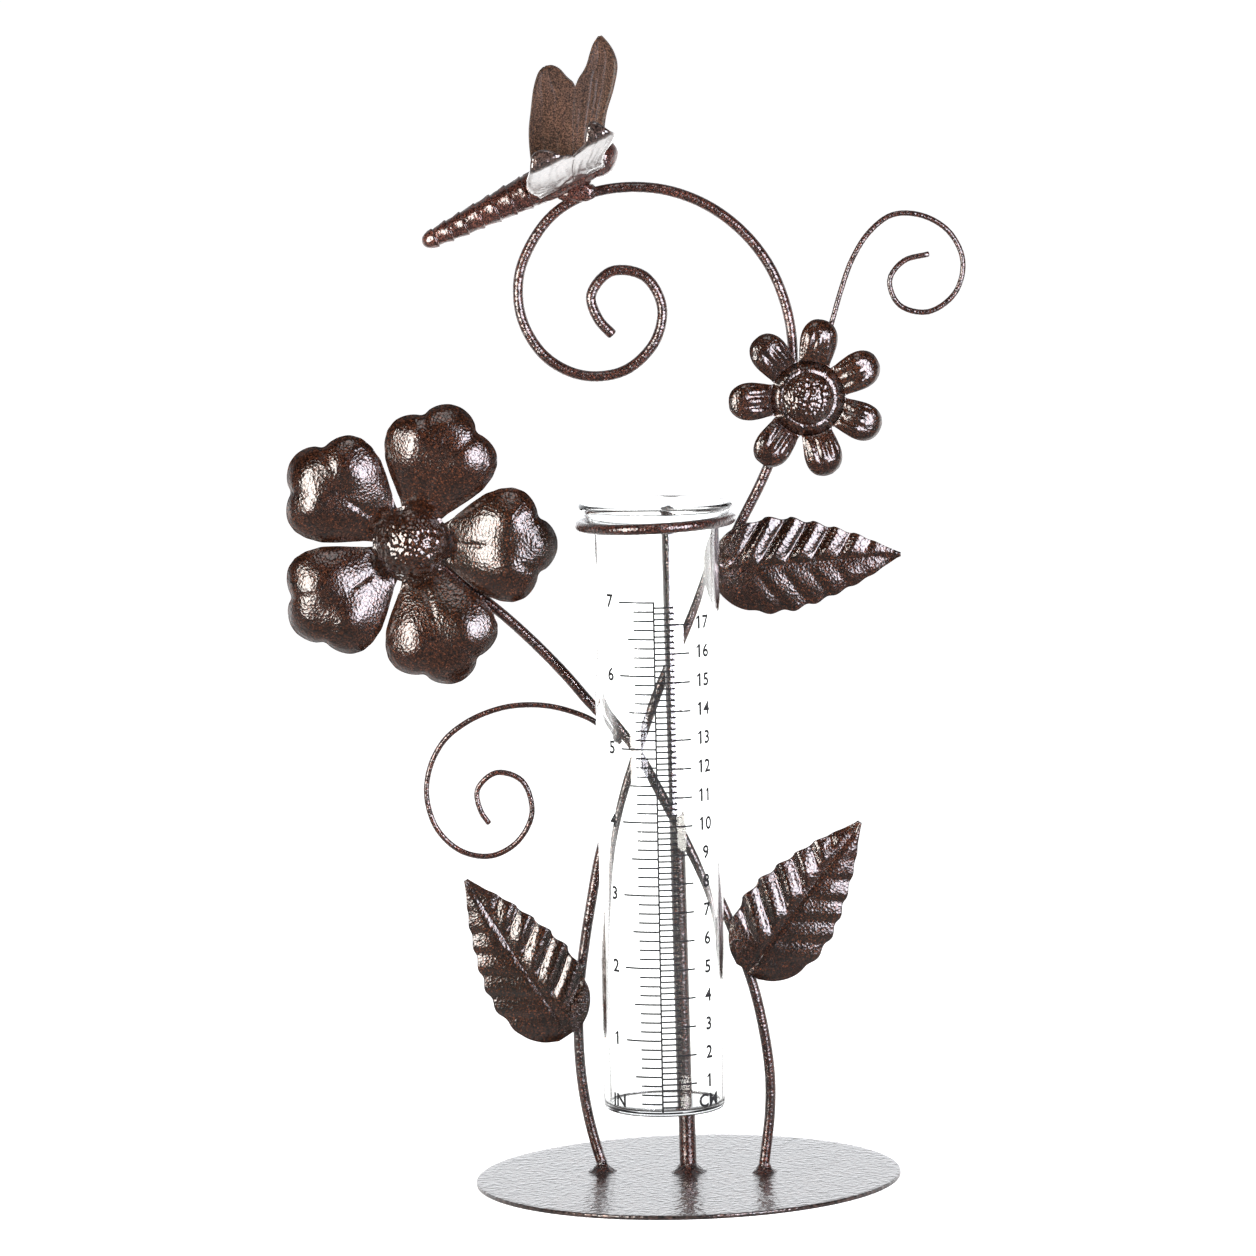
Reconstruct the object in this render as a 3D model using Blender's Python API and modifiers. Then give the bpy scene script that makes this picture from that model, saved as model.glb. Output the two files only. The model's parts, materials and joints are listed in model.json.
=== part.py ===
"""Garden rain gauge: a glass tube hung in a ring on a stand of bent, welded steel rod.

The stand has a round base plate, a straight post, two bent stems, two thin scroll wires,
three pressed leaves, two pressed flowers and a dragonfly.  Units are metres and +Z is up.
The origin is the centre of the base plate's underside, and the front faces -Y.
"""
import math

import bmesh
import bpy
from mathutils import Matrix, Vector

MM = 0.001
GAP = 0.3 * MM                      # left between pieces that touch

# Driving dimensions
BASE_RADIUS = 75.0 * MM
BASE_THICKNESS = 1.5 * MM
POST_RADIUS = 3.0 * MM
STEM_RADIUS = 1.9 * MM
SCROLL_RADIUS = 1.0 * MM
RING_WIRE_RADIUS = 1.9 * MM
SHEET = 1.0 * MM                    # thickness of the pressed leaves, petals and wings
TUBE_RADIUS = 22.0 * MM
TUBE_WALL = 1.5 * MM
TUBE_BOTTOM = 30.5 * MM
TUBE_LENGTH = 212.0 * MM
LIP_RADIUS = 26.8 * MM

# Places that follow from them
ROD_FOOT = BASE_THICKNESS + GAP
POST_Y = 5.0 * MM
POST_TOP = 236.5 * MM
FRONT_STEM_Y = POST_Y - POST_RADIUS - GAP - STEM_RADIUS
BACK_STEM_Y = POST_Y + POST_RADIUS + GAP + STEM_RADIUS
RIGHT_SCROLL_Y = BACK_STEM_Y + 1.4 * MM  # a little further back, to clear the small flower
RING_RADIUS = TUBE_RADIUS + 2.2 * MM + RING_WIRE_RADIUS
RING_CENTRE = Vector((-5.0 * MM, -26.0 * MM, 235.7 * MM))
RING_TILT = math.radians(-1.5)
TUBE_LEAN = math.radians(0.7)       # the tube hangs a little out of plumb in its ring
TUBE_TOP = TUBE_BOTTOM + TUBE_LENGTH

# Routes of the bent rods: (x, z) in millimetres, each in a plane of constant y
FLOWER_STEM_ROUTE = [
    (26.5, 2.2), (27.8, 11), (29.3, 22), (29.8, 35), (28.5, 49), (25.3, 66), (20.7, 81),
    (14.9, 96.5), (7.9, 111), (0.5, 125.2), (-7, 139.5), (-14.2, 152.5), (-21.7, 161.6),
    (-29.6, 170), (-38, 180.3), (-47.5, 190.7), (-57.5, 200.5), (-72, 213), (-86, 224.5),
]
SCROLL_STEM_ROUTE = [
    (-30.0, 2.4), (-32.2, 10), (-34.6, 20), (-36.7, 33.8), (-37.5, 50), (-36.7, 67), (-34.4, 83),
    (-31.5, 98.5), (-28.2, 114), (-22.4, 132), (-14.2, 152), (-4.6, 175), (5.9, 194.5),
    (15.2, 212.5), (24.5, 230.3), (33.3, 246.8), (39.6, 262), (43.5, 277), (44.8, 291.9),
    (42.8, 306.9), (37.4, 321), (28.5, 333.1), (16.7, 342.5), (2.8, 348.3), (-12.3, 349.9),
    (-26, 347.6), (-37.5, 341.2), (-46, 330.5), (-50.4, 318.8), (-49.6, 304.6), (-41.8, 291.4),
    (-28.9, 284.5), (-14.2, 285.8), (-3.3, 295.7), (-0.6, 308), (-6.5, 318.7), (-18, 320.6),
    (-25.2, 312.5), (-22.9, 304), (-18, 298.3),
]
LEFT_SCROLL_ROUTE = [
    (-20.7, 155.7), (-24.6, 160.3), (-29.4, 164.2), (-36.1, 167.2), (-43.5, 169.3), (-51.2, 170.1),
    (-59, 169.6), (-66.6, 167.6), (-73.9, 164.2), (-81.2, 158.5), (-86.5, 149.3), (-88.1, 138.3),
    (-84.6, 126.7), (-76.4, 118.9), (-66, 117), (-56.6, 121.9), (-51.3, 132), (-54.5, 143.3),
    (-63.5, 146.4), (-70.2, 140.6), (-69.3, 133), (-66.4, 128.4),
]
RIGHT_SCROLL_ROUTE = [
    (43.6, 263.5), (46.2, 272), (49.4, 279), (53.1, 286.3), (56.6, 293.9), (59.1, 301.5),
    (62, 310.8), (66.3, 322), (72.6, 331.6), (80.9, 337.5), (91.2, 337), (100.6, 331),
    (105.2, 320.5), (102.2, 309.6), (92.6, 303.2), (82.6, 305.9), (79.4, 314.6), (84.4, 321.2),
    (93.5, 323.5),
]

# Pressed leaf: (fraction of its length from the stalk end, half width over the widest)
LEAF_LENGTH = 66.0 * MM
LEAF_HALF_WIDTH = 16.4 * MM
LEAF_CROWN = 2.0 * MM
LEAF_OUTLINE = [
    (0.0, 0.28), (0.05, 0.62), (0.13, 0.86), (0.25, 0.99), (0.38, 1.0), (0.52, 0.88),
    (0.66, 0.69), (0.80, 0.46), (0.92, 0.2), (1.0, 0.03),
]

# Large flower: (distance from the centre, half width, height) of a petal, in millimetres
LARGE_FLOWER_CENTRE = (-90.4, 228.2)
LARGE_FLOWER_FACING = math.radians(-1.0)
LARGE_FLOWER_TURN = -1.6
LARGE_PETALS = 5
LARGE_PETAL_ROWS = [
    (13.6, 7.4, 0.0), (17.1, 11.1, 2.2), (21.4, 14.5, 4.4), (26.1, 17.7, 6.3), (31.4, 19.6, 7.4),
    (35.6, 19.9, 7.6), (39.4, 18.5, 7.0), (42.4, 15.4, 6.0), (44.2, 10.8, 5.2), (46.6, 8.1, 4.3),
    (49.0, 5.3, 3.2), (50.6, 2.4, 2.4),
]
LARGE_PETAL_EDGE_DROP = 3.8
LARGE_BOSS_RADIUS = 12.8 * MM
LARGE_BOSS_HEIGHT = 10.5 * MM

# Small flower, in the same terms
SMALL_FLOWER_CENTRE = (49.5, 274.4)
SMALL_FLOWER_FACING = math.radians(8.0)
SMALL_FLOWER_TURN = -25.0
SMALL_PETALS = 7
SMALL_PETAL_ROWS = [
    (13.2, 5.6, 0.0), (15.0, 5.8, 1.2), (17.4, 6.2, 2.1), (20.8, 6.5, 2.7), (23.9, 6.0, 2.4),
    (26.2, 4.5, 1.7), (27.6, 2.2, 1.1),
]
SMALL_PETAL_EDGE_DROP = 1.6
SMALL_BOSS_RADIUS = 9.0 * MM
SMALL_BOSS_HEIGHT = 4.5 * MM

# Dragonfly: the body's turned profile, (distance from the tail end, radius) in millimetres
DRAGONFLY_PIVOT = Vector((-31.0 * MM, BACK_STEM_Y, 356.3 * MM))
DRAGONFLY_PIVOT_STATION = 58.0 * MM     # the pivot's distance from the tail end
DRAGONFLY_CLIMB = math.radians(24.6)
THORAX_RADIUS = 7.0
TAIL_RINGS = [
    (5.5, 3.7), (11.0, 4.2), (16.8, 4.7), (22.7, 5.1), (28.8, 5.5), (35.1, 6.0), (41.2, 6.3),
]
TAIL_RING_STEP = 0.5
TAIL_TIP = [(0, 0.0), (0.8, 2.0), (2.8, 3.3)]
THORAX_AND_HEAD = [
    (46, 6.4), (49.9, THORAX_RADIUS - 0.1), (61.7, THORAX_RADIUS), (64.3, 6.4), (67.1, 6.9),
    (71.0, 6.5), (73.8, 4.6), (75.5, 2.4), (76.1, 0.0),
]
# Wings, flat: (distance out from the fold, trailing edge, leading edge) along the body, in mm
WING_FOLD_OUT = THORAX_RADIUS + 1.2     # the fold lies along the body's front, below its axis
WING_FOLD_DROP = 3.5
UPPER_WING_BEND = (92.0, -14.0)         # degrees above level at the root, and more at the tip
LOWER_WING_BEND = (14.0, 75.0)          # the lower pair comes forwards and turns up at its tips
UPPER_WING_BEND_POWER = 1.0
LOWER_WING_BEND_POWER = 6.0
UPPER_WING_SWEEP = 0.36                 # the upper pair leans towards the head
WING_SPAN = 41.5
HIND_WING_ROWS = [
    (0, 44.5, 57.5), (8, 43.0, 58.5), (16, 42.6, 59.5), (23, 43.2, 60.8), (29.4, 44.9, 62.1),
    (34, 46.2, 59.2), (37.4, 47.7, 57.0), (39.6, 49.4, 54.4), (40.4, 50.8, 52.4),
]
FORE_WING_ROWS = [
    (0, 57.5, 69.5), (8, 58.5, 70.2), (16, 59.5, 72.4), (23, 60.8, 76.2), (29.4, 62.1, 78.4),
    (34, 66.8, 77.7), (37.4, 68.8, 76.2), (39.8, 70.4, 74.7), (41.5, 72.4, 73.6),
]


def clear_scene():
    for thing in list(bpy.data.objects):
        bpy.data.objects.remove(thing, do_unlink=True)


def new_collection(name):
    collection = bpy.data.collections.new(name)
    bpy.context.scene.collection.children.link(collection)
    return collection


def material(name, colour, roughness, metallic, transmission=0.0):
    made = bpy.data.materials.new(name)
    made.use_nodes = True
    shader = made.node_tree.nodes["Principled BSDF"]
    shader.inputs["Base Color"].default_value = (*colour, 1.0)
    shader.inputs["Roughness"].default_value = roughness
    shader.inputs["Metallic"].default_value = metallic
    shader.inputs["Transmission Weight"].default_value = transmission
    made.diffuse_color = (*colour, 1.0)
    return made


def bronze(name):
    """Dark bronze hammered powder coat."""
    return material(name + "_finish", (0.075, 0.040, 0.030), 0.32, 0.55)


def add_piece(name, mesh, finish=None):
    piece = bpy.data.objects.new(name, mesh)
    PARTS.objects.link(piece)
    mesh.materials.append(finish or bronze(name))
    return piece


def shade_round(mesh, angle=40.0):
    mesh.shade_smooth()
    mesh.set_sharp_from_angle(angle=math.radians(angle))


def mesh_from(bm, name):
    mesh = bpy.data.meshes.new(name)
    bm.to_mesh(mesh)
    bm.free()
    shade_round(mesh)
    return mesh


def smooth_route(route, y, spacing):
    """Points along a centripetal curve through (x, z) millimetre points, at constant y."""
    knots = [Vector((x * MM, y, z * MM)) for x, z in route]
    knots = [2 * knots[0] - knots[1]] + knots + [2 * knots[-1] - knots[-2]]
    points = [knots[1].copy()]
    for before, start, end, after in zip(knots, knots[1:], knots[2:], knots[3:]):
        gaps = [math.sqrt((b - a).length) for a, b in ((before, start), (start, end), (end, after))]
        leave = (start - before) / gaps[0] - (end - before) / (gaps[0] + gaps[1]) + (end - start) / gaps[1]
        arrive = (end - start) / gaps[1] - (after - start) / (gaps[1] + gaps[2]) + (after - end) / gaps[2]
        leave *= gaps[1]
        arrive *= gaps[1]
        steps = max(1, round((end - start).length / spacing))
        for step in range(1, steps + 1):
            t = step / steps
            points.append(
                (2 * t**3 - 3 * t**2 + 1) * start + (t**3 - 2 * t**2 + t) * leave
                + (3 * t**2 - 2 * t**3) * end + (t**3 - t**2) * arrive
            )
    return points


def rod_mesh(name, points, radius):
    """A closed rod of round section along the points, from a bevelled curve."""
    curve = bpy.data.curves.new(name, "CURVE")
    curve.dimensions = "3D"
    curve.bevel_depth = radius
    curve.bevel_resolution = 2
    curve.use_fill_caps = True
    spline = curve.splines.new("POLY")
    spline.points.add(len(points) - 1)
    for slot, point in zip(spline.points, points):
        slot.co = (*point, 1.0)
    carrier = bpy.data.objects.new(name + "_curve", curve)
    PARTS.objects.link(carrier)
    evaluated = carrier.evaluated_get(bpy.context.evaluated_depsgraph_get())
    mesh = bpy.data.meshes.new_from_object(evaluated)
    bpy.data.objects.remove(carrier, do_unlink=True)
    bpy.data.curves.remove(curve)
    bm = bmesh.new()
    bm.from_mesh(mesh)
    bmesh.ops.remove_doubles(bm, verts=bm.verts, dist=0.0001 * MM)
    bm.to_mesh(mesh)
    bm.free()
    mesh.name = name
    shade_round(mesh, 60.0)
    return mesh


def add_cutter(name, mesh):
    cutter = bpy.data.objects.new(name, mesh)
    CUTTERS.objects.link(cutter)
    cutter.hide_render = True
    cutter.display_type = "WIRE"
    return cutter


def add_rod(name, points, radius):
    """The rod itself, and a slightly fatter copy that its welds are cut with."""
    add_piece(name, rod_mesh(name, points, radius))
    return add_cutter(name + "_clearance", rod_mesh(name + "_clearance", points, radius + GAP))


def cut(piece, cutters):
    for cutter in cutters:
        boolean = piece.modifiers.new("cut", "BOOLEAN")
        boolean.operation = "DIFFERENCE"
        boolean.object = cutter
        boolean.solver = "EXACT"


def add_turned(name, profile, segments, finish=None):
    """Spin a profile of (radius, z) points, top to bottom on its outer side, about the Z axis."""
    mesh = bpy.data.meshes.new(name)
    edges = [(i, i + 1) for i in range(len(profile) - 1)]
    mesh.from_pydata([(radius, 0.0, z) for radius, z in profile], edges, [])
    piece = add_piece(name, mesh, finish)
    screw = piece.modifiers.new("spin", "SCREW")
    screw.axis = "Z"
    screw.steps = segments
    screw.render_steps = segments
    screw.use_merge_vertices = True
    screw.merge_threshold = 0.00001
    screw.use_smooth_shade = True
    return piece


def base_plate():
    bevel = 0.3 * MM
    bm = bmesh.new()
    bmesh.ops.create_cone(
        bm, cap_ends=True, segments=96, radius1=BASE_RADIUS, radius2=BASE_RADIUS, depth=BASE_THICKNESS
    )
    bmesh.ops.translate(bm, verts=bm.verts, vec=(0, 0, BASE_THICKNESS / 2))
    piece = add_piece("base_plate", mesh_from(bm, "base_plate"))
    rounding = piece.modifiers.new("edge", "BEVEL")
    rounding.width = bevel
    rounding.segments = 2


def rods():
    """The post, the two stems and the two thin scrolls; returns what cuts their welds."""
    post = [Vector((0, POST_Y, ROD_FOOT)), Vector((0, POST_Y, POST_TOP))]
    return {
        "post": add_rod("center_post", post, POST_RADIUS),
        "flower_stem": add_rod(
            "flower_stem", smooth_route(FLOWER_STEM_ROUTE, FRONT_STEM_Y, 6 * MM), STEM_RADIUS
        ),
        "scroll_stem": add_rod(
            "scroll_stem", smooth_route(SCROLL_STEM_ROUTE, BACK_STEM_Y, 5.5 * MM), STEM_RADIUS
        ),
        "left_scroll": add_rod(
            "left_scroll", smooth_route(LEFT_SCROLL_ROUTE, FRONT_STEM_Y, 4.5 * MM), SCROLL_RADIUS
        ),
        "right_scroll": add_rod(
            "right_scroll", smooth_route(RIGHT_SCROLL_ROUTE, RIGHT_SCROLL_Y, 4.5 * MM), SCROLL_RADIUS
        ),
    }


def torus_mesh(name, wire_radius):
    """The holder ring's mesh, tilted and in place."""
    bpy.ops.mesh.primitive_torus_add(
        major_radius=RING_RADIUS, minor_radius=wire_radius, major_segments=48, minor_segments=10
    )
    carrier = bpy.context.object
    mesh = carrier.data
    bpy.data.objects.remove(carrier, do_unlink=True)
    mesh.name = name
    mesh.transform(Matrix.Translation(RING_CENTRE) @ Matrix.Rotation(RING_TILT, 4, "Y"))
    shade_round(mesh, 60.0)
    return mesh


def holder_ring():
    add_piece("holder_ring", torus_mesh("holder_ring", RING_WIRE_RADIUS))
    return add_cutter("holder_ring_clearance", torus_mesh("holder_ring_clearance", RING_WIRE_RADIUS + GAP))


def glass_tube():
    """Test-tube-like cup: flat bottom, straight wall, flared and rolled lip."""
    top = TUBE_TOP
    inner = TUBE_RADIUS - TUBE_WALL
    outer_side = [
        (25.7 * MM, top), (26.5 * MM, top - 0.5 * MM), (LIP_RADIUS, top - 1.5 * MM),
        (26.3 * MM, top - 2.6 * MM), (25.3 * MM, top - 3.6 * MM), (24.1 * MM, top - 4.6 * MM),
        (23.0 * MM, top - 6.0 * MM), (22.3 * MM, top - 8.0 * MM), (TUBE_RADIUS, top - 11.0 * MM),
        (21.2 * MM, TUBE_BOTTOM + 5.0 * MM), (21.1 * MM, TUBE_BOTTOM + 1.8 * MM),
        (20.7 * MM, TUBE_BOTTOM + 0.6 * MM), (19.6 * MM, TUBE_BOTTOM), (0.0, TUBE_BOTTOM),
    ]
    inner_side = [
        (0.0, TUBE_BOTTOM + 1.8 * MM), (18.2 * MM, TUBE_BOTTOM + 1.8 * MM),
        (19.4 * MM, TUBE_BOTTOM + 2.8 * MM), (19.7 * MM, TUBE_BOTTOM + 5.0 * MM),
        (inner, top - 11.0 * MM), (20.8 * MM, top - 7.6 * MM), (21.7 * MM, top - 5.0 * MM),
        (23.0 * MM, top - 2.8 * MM), (24.0 * MM, top - 1.0 * MM), (24.7 * MM, top - 0.2 * MM),
        (25.7 * MM, top),
    ]
    glass = material("clear_glass", (0.92, 0.95, 0.96), 0.02, 0.0, 1.0)
    tube = add_turned("glass_tube", outer_side + inner_side, 48, glass)
    about_ring = Matrix.Translation(RING_CENTRE) @ Matrix.Rotation(TUBE_LEAN, 4, "Y")
    tube.matrix_world = about_ring @ Matrix.Translation((0.0, 0.0, -RING_CENTRE.z))


def sheet_grid(bm, rows, place):
    """A strip of quads from rows of points; place(row, across) puts a point, across from -1 to 1."""
    columns = 5
    grid = []
    for row in rows:
        spread = [-1 + 2 * column / (columns - 1) for column in range(columns)]
        grid.append([bm.verts.new(place(row, across)) for across in spread])
    for near, far in zip(grid, grid[1:]):
        for left in range(columns - 1):
            bm.faces.new((near[left], near[left + 1], far[left + 1], far[left]))
    return grid


def thicken(piece):
    shell = piece.modifiers.new("sheet", "SOLIDIFY")
    shell.thickness = SHEET
    shell.offset = 0.0


def add_leaf(name, base, tip, stem_y):
    """A pressed leaf, lying across the front of its stem, crowned along the midrib."""
    start = Vector((base[0] * MM, 0.0, base[1] * MM))
    along = (Vector((tip[0] * MM, 0.0, tip[1] * MM)) - start).normalized()
    aside = Vector((0.0, -1.0, 0.0)).cross(along)
    plane = stem_y - STEM_RADIUS - GAP - SHEET / 2

    def place(row, across):
        fraction, width = row
        crown = LEAF_CROWN * width * (1 - across**2)
        point = start + along * fraction * LEAF_LENGTH + aside * across * width * LEAF_HALF_WIDTH
        return (point.x, plane - crown, point.z)

    bm = bmesh.new()
    sheet_grid(bm, LEAF_OUTLINE, place)
    thicken(add_piece(name, mesh_from(bm, name)))


def leaves():
    add_leaf("leaf_lower_left", (-40.6, 51.6), (-74.8, 106.5), BACK_STEM_Y)
    add_leaf("leaf_lower_right", (22.8, 73.9), (63.5, 125.6), FRONT_STEM_Y)
    add_leaf("leaf_upper_right", (14.8, 214.9), (80.7, 218.7), BACK_STEM_Y)


def flower_frame(centre, hub_y, facing):
    """Axes of a flower: x and z across its face, -y out of its front."""
    place = Matrix.Translation((centre[0] * MM, hub_y, centre[1] * MM))
    return place @ Matrix.Rotation(facing, 4, "Z")


def add_petals(name, frame, count, turn, rows, edge_drop):
    """One pressing: a flat hub with petals that dome forwards and curl back at their edges."""
    bm = bmesh.new()
    hub = []
    for petal in range(count):
        angle = math.radians(turn + petal * 360 / count)
        out = Vector((math.cos(angle), 0.0, math.sin(angle)))
        aside = Vector((-math.sin(angle), 0.0, math.cos(angle)))

        def place(row, across):
            distance, width, height = row
            drop = min(edge_drop, height) * across**2
            point = out * distance + aside * across * width
            if height == 0.0:
                point *= distance / point.length
            return (point.x * MM, (drop - height) * MM, point.z * MM)

        hub += sheet_grid(bm, rows, place)[0]
    bm.faces.new(hub)
    bmesh.ops.recalc_face_normals(bm, faces=bm.faces)
    petals = add_piece(name, mesh_from(bm, name))
    petals.matrix_world = frame
    thicken(petals)


def add_boss(name, frame, radius, height):
    """The hollow domed cap on a flower's hub, open at the back."""
    wall = 1.0 * MM
    steps = 6
    quarter = [math.radians(90 * step / steps) for step in range(steps + 1)]
    outer = [(radius * math.sin(a), height * math.cos(a)) for a in quarter]
    inner = [((radius - wall) * math.sin(a), (height - wall) * math.cos(a)) for a in reversed(quarter)]
    boss = add_turned(name, outer + inner, 24)
    stand_off = Matrix.Translation((0.0, -SHEET / 2 - GAP, 0.0))
    boss.matrix_world = frame @ stand_off @ Matrix.Rotation(math.radians(90), 4, "X")


def hub_cutter(name, frame):
    """A block that takes the room of a flower's hub, and all in front of it, out of a weld."""
    width = 30 * MM
    depth = 12 * MM
    back = SHEET / 2 + GAP
    bm = bmesh.new()
    bmesh.ops.create_cube(bm, size=1.0)
    place = Matrix.Translation((0.0, back - depth / 2, 0.0)) @ Matrix.Diagonal((width, depth, width, 1.0))
    bmesh.ops.transform(bm, matrix=frame @ place, verts=bm.verts)
    return add_cutter(name, mesh_from(bm, name))


def flowers():
    """Both flowers; returns what cuts the welds at their backs."""
    large_hub = FRONT_STEM_Y - STEM_RADIUS - GAP - SHEET / 2
    small_hub = BACK_STEM_Y - STEM_RADIUS - GAP - SHEET / 2
    large = flower_frame(LARGE_FLOWER_CENTRE, large_hub, LARGE_FLOWER_FACING)
    small = flower_frame(SMALL_FLOWER_CENTRE, small_hub, SMALL_FLOWER_FACING)
    add_petals(
        "large_flower_petals", large, LARGE_PETALS, LARGE_FLOWER_TURN, LARGE_PETAL_ROWS,
        LARGE_PETAL_EDGE_DROP
    )
    add_boss("large_flower_boss", large, LARGE_BOSS_RADIUS, LARGE_BOSS_HEIGHT)
    add_petals(
        "small_flower_petals", small, SMALL_PETALS, SMALL_FLOWER_TURN, SMALL_PETAL_ROWS,
        SMALL_PETAL_EDGE_DROP
    )
    add_boss("small_flower_boss", small, SMALL_BOSS_RADIUS, SMALL_BOSS_HEIGHT)
    return {
        "large_hub": hub_cutter("large_hub_clearance", large),
        "small_hub": hub_cutter("small_hub_clearance", small),
    }


def dragonfly_frame():
    """Axes of the dragonfly: x along its body from the tail end to the head, -y out of its front."""
    climb = Matrix.Rotation(-DRAGONFLY_CLIMB, 4, "Y")
    from_tail = Matrix.Translation((-DRAGONFLY_PIVOT_STATION, 0.0, 0.0))
    return Matrix.Translation(DRAGONFLY_PIVOT) @ climb @ from_tail


def dragonfly_profile(extra=0.0):
    """The body's outline as (radius, distance) from the head to the tail end."""
    outline = list(TAIL_TIP)
    for station, radius in TAIL_RINGS:
        outline += [(station, radius), (station + 0.4, radius - TAIL_RING_STEP)]
    outline += THORAX_AND_HEAD
    return [((radius + extra if radius else 0.0) * MM, station * MM) for station, radius in reversed(outline)]


def dragonfly_body():
    """The ringed tail, thorax and head, turned in one piece; returns what cuts its weld."""
    along_body = dragonfly_frame() @ Matrix.Rotation(math.radians(90), 4, "Y")
    body = add_turned("dragonfly_body", dragonfly_profile(), 16)
    body.matrix_world = along_body
    cutter = add_turned("dragonfly_body_clearance", dragonfly_profile(GAP / MM), 16)
    cutter.matrix_world = along_body
    cutter.hide_render = True
    cutter.display_type = "WIRE"
    PARTS.objects.unlink(cutter)
    CUTTERS.objects.link(cutter)
    return cutter


def wing_section(distance, bend, power):
    """Where a point that far out from the fold lies, (forwards, up), as the wing bends."""
    root_angle, more = bend
    steps = 16
    forwards = 0.0
    up = 0.0
    for step in range(steps):
        middle = distance * (step + 0.5) / steps
        angle = math.radians(root_angle + more * (middle / WING_SPAN) ** power)
        forwards += distance / steps * math.cos(angle)
        up += distance / steps * math.sin(angle)
    return forwards, up


def dragonfly_wings():
    """One pressing with four wings, folded along its middle: one pair up, one pair forwards."""
    pairs = [
        (UPPER_WING_BEND, UPPER_WING_BEND_POWER, UPPER_WING_SWEEP),
        (LOWER_WING_BEND, LOWER_WING_BEND_POWER, 0.0),
    ]
    bm = bmesh.new()
    for bend, power, sweep in pairs:
        for rows in (HIND_WING_ROWS, FORE_WING_ROWS):

            def place(row, across):
                distance, trailing, leading = row
                forwards, up = wing_section(distance, bend, power)
                station = trailing + (leading - trailing) * (across + 1) / 2 + sweep * distance
                return (station * MM, -(WING_FOLD_OUT + forwards) * MM, (up - WING_FOLD_DROP) * MM)

            sheet_grid(bm, rows, place)
    bmesh.ops.remove_doubles(bm, verts=bm.verts, dist=0.01 * MM)
    bmesh.ops.recalc_face_normals(bm, faces=bm.faces)
    wings = add_piece("dragonfly_wings", mesh_from(bm, "dragonfly_wings"))
    wings.matrix_world = dragonfly_frame()
    thicken(wings)


def add_foot_weld(name, x, y, bottom_radius, top_radius, height, cutter):
    """Cone of weld metal round the foot of a rod, on the base plate."""
    bm = bmesh.new()
    bmesh.ops.create_cone(
        bm, cap_ends=True, segments=20, radius1=bottom_radius, radius2=top_radius, depth=height
    )
    bmesh.ops.translate(bm, verts=bm.verts, vec=(x, y, ROD_FOOT + height / 2))
    piece = add_piece(name, mesh_from(bm, name))
    cut(piece, [cutter])


def add_tack(name, centre, radii, cutters, lean=0.0):
    """Lump of weld metal where rods meet; lean turns it in the upright plane."""
    bm = bmesh.new()
    bmesh.ops.create_uvsphere(bm, u_segments=12, v_segments=8, radius=1.0)
    place = Matrix.Translation([value * MM for value in centre])
    place = place @ Matrix.Rotation(math.radians(lean), 4, "Y")
    place = place @ Matrix.Diagonal([value * MM for value in radii] + [1.0])
    bmesh.ops.transform(bm, matrix=place, verts=bm.verts)
    cut(add_piece(name, mesh_from(bm, name)), cutters)


def welds(rod, ring, hubs, body):
    front = FRONT_STEM_Y / MM
    back = BACK_STEM_Y / MM
    post = rod["post"]
    front_stem = rod["flower_stem"]
    back_stem = rod["scroll_stem"]
    add_foot_weld("post_foot_weld", 0.0, POST_Y, 5.8 * MM, 4.0 * MM, 4.5 * MM, post)
    add_foot_weld("front_foot_weld", 26.9 * MM, FRONT_STEM_Y, 4.5 * MM, 3.3 * MM, 4.5 * MM, front_stem)
    add_foot_weld("back_foot_weld", -30.6 * MM, BACK_STEM_Y, 4.5 * MM, 3.5 * MM, 4.5 * MM, back_stem)
    add_tack("ring_weld", (-0.6, 1.8, 235.9), (3.6, 2.4, 3.6), [post, ring])
    add_tack("front_stem_weld", (0.4, 1.85, 124.8), (3.2, 1.7, 3.2), [post, front_stem])
    add_tack("back_stem_weld", (0.4, 8.15, 184.6), (3.2, 1.7, 3.2), [post, back_stem])
    add_tack("large_flower_weld", (-85.5, front, 224.2), (4.0, 2.4, 4.0), [front_stem, hubs["large_hub"]])
    add_tack(
        "small_flower_weld", (43.0, 7.9, 275.5), (3.4, 3.2, 3.6),
        [back_stem, rod["right_scroll"], hubs["small_hub"]]
    )
    add_tack(
        "left_scroll_weld", (-22.4, front, 158.8), (1.6, 2.0, 4.0), [front_stem, rod["left_scroll"]], -44
    )
    add_tack(
        "right_scroll_weld", (42.6, back + 0.8, 265.8), (1.5, 1.9, 3.0), [back_stem, rod["right_scroll"]], 15
    )
    add_tack("dragonfly_weld", (-29.2, back, 348.6), (8.0, 3.6, 3.6), [back_stem, body], -20)


def build():
    base_plate()
    rod = rods()
    ring = holder_ring()
    glass_tube()
    leaves()
    hubs = flowers()
    body = dragonfly_body()
    dragonfly_wings()
    welds(rod, ring, hubs, body)


clear_scene()
PARTS = new_collection("rain_gauge")
CUTTERS = new_collection("cutters")
build()
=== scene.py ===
"""Looks of the garden rain gauge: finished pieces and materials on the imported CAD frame.

Every piece is built in the frame's own axes (metres, +Z up, front facing -Y), so object
coordinates in the materials are real lengths.  Millimetres are turned into metres with MM.
"""
import json
import math

import bmesh
import bpy
from mathutils import Matrix, Vector, noise


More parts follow.
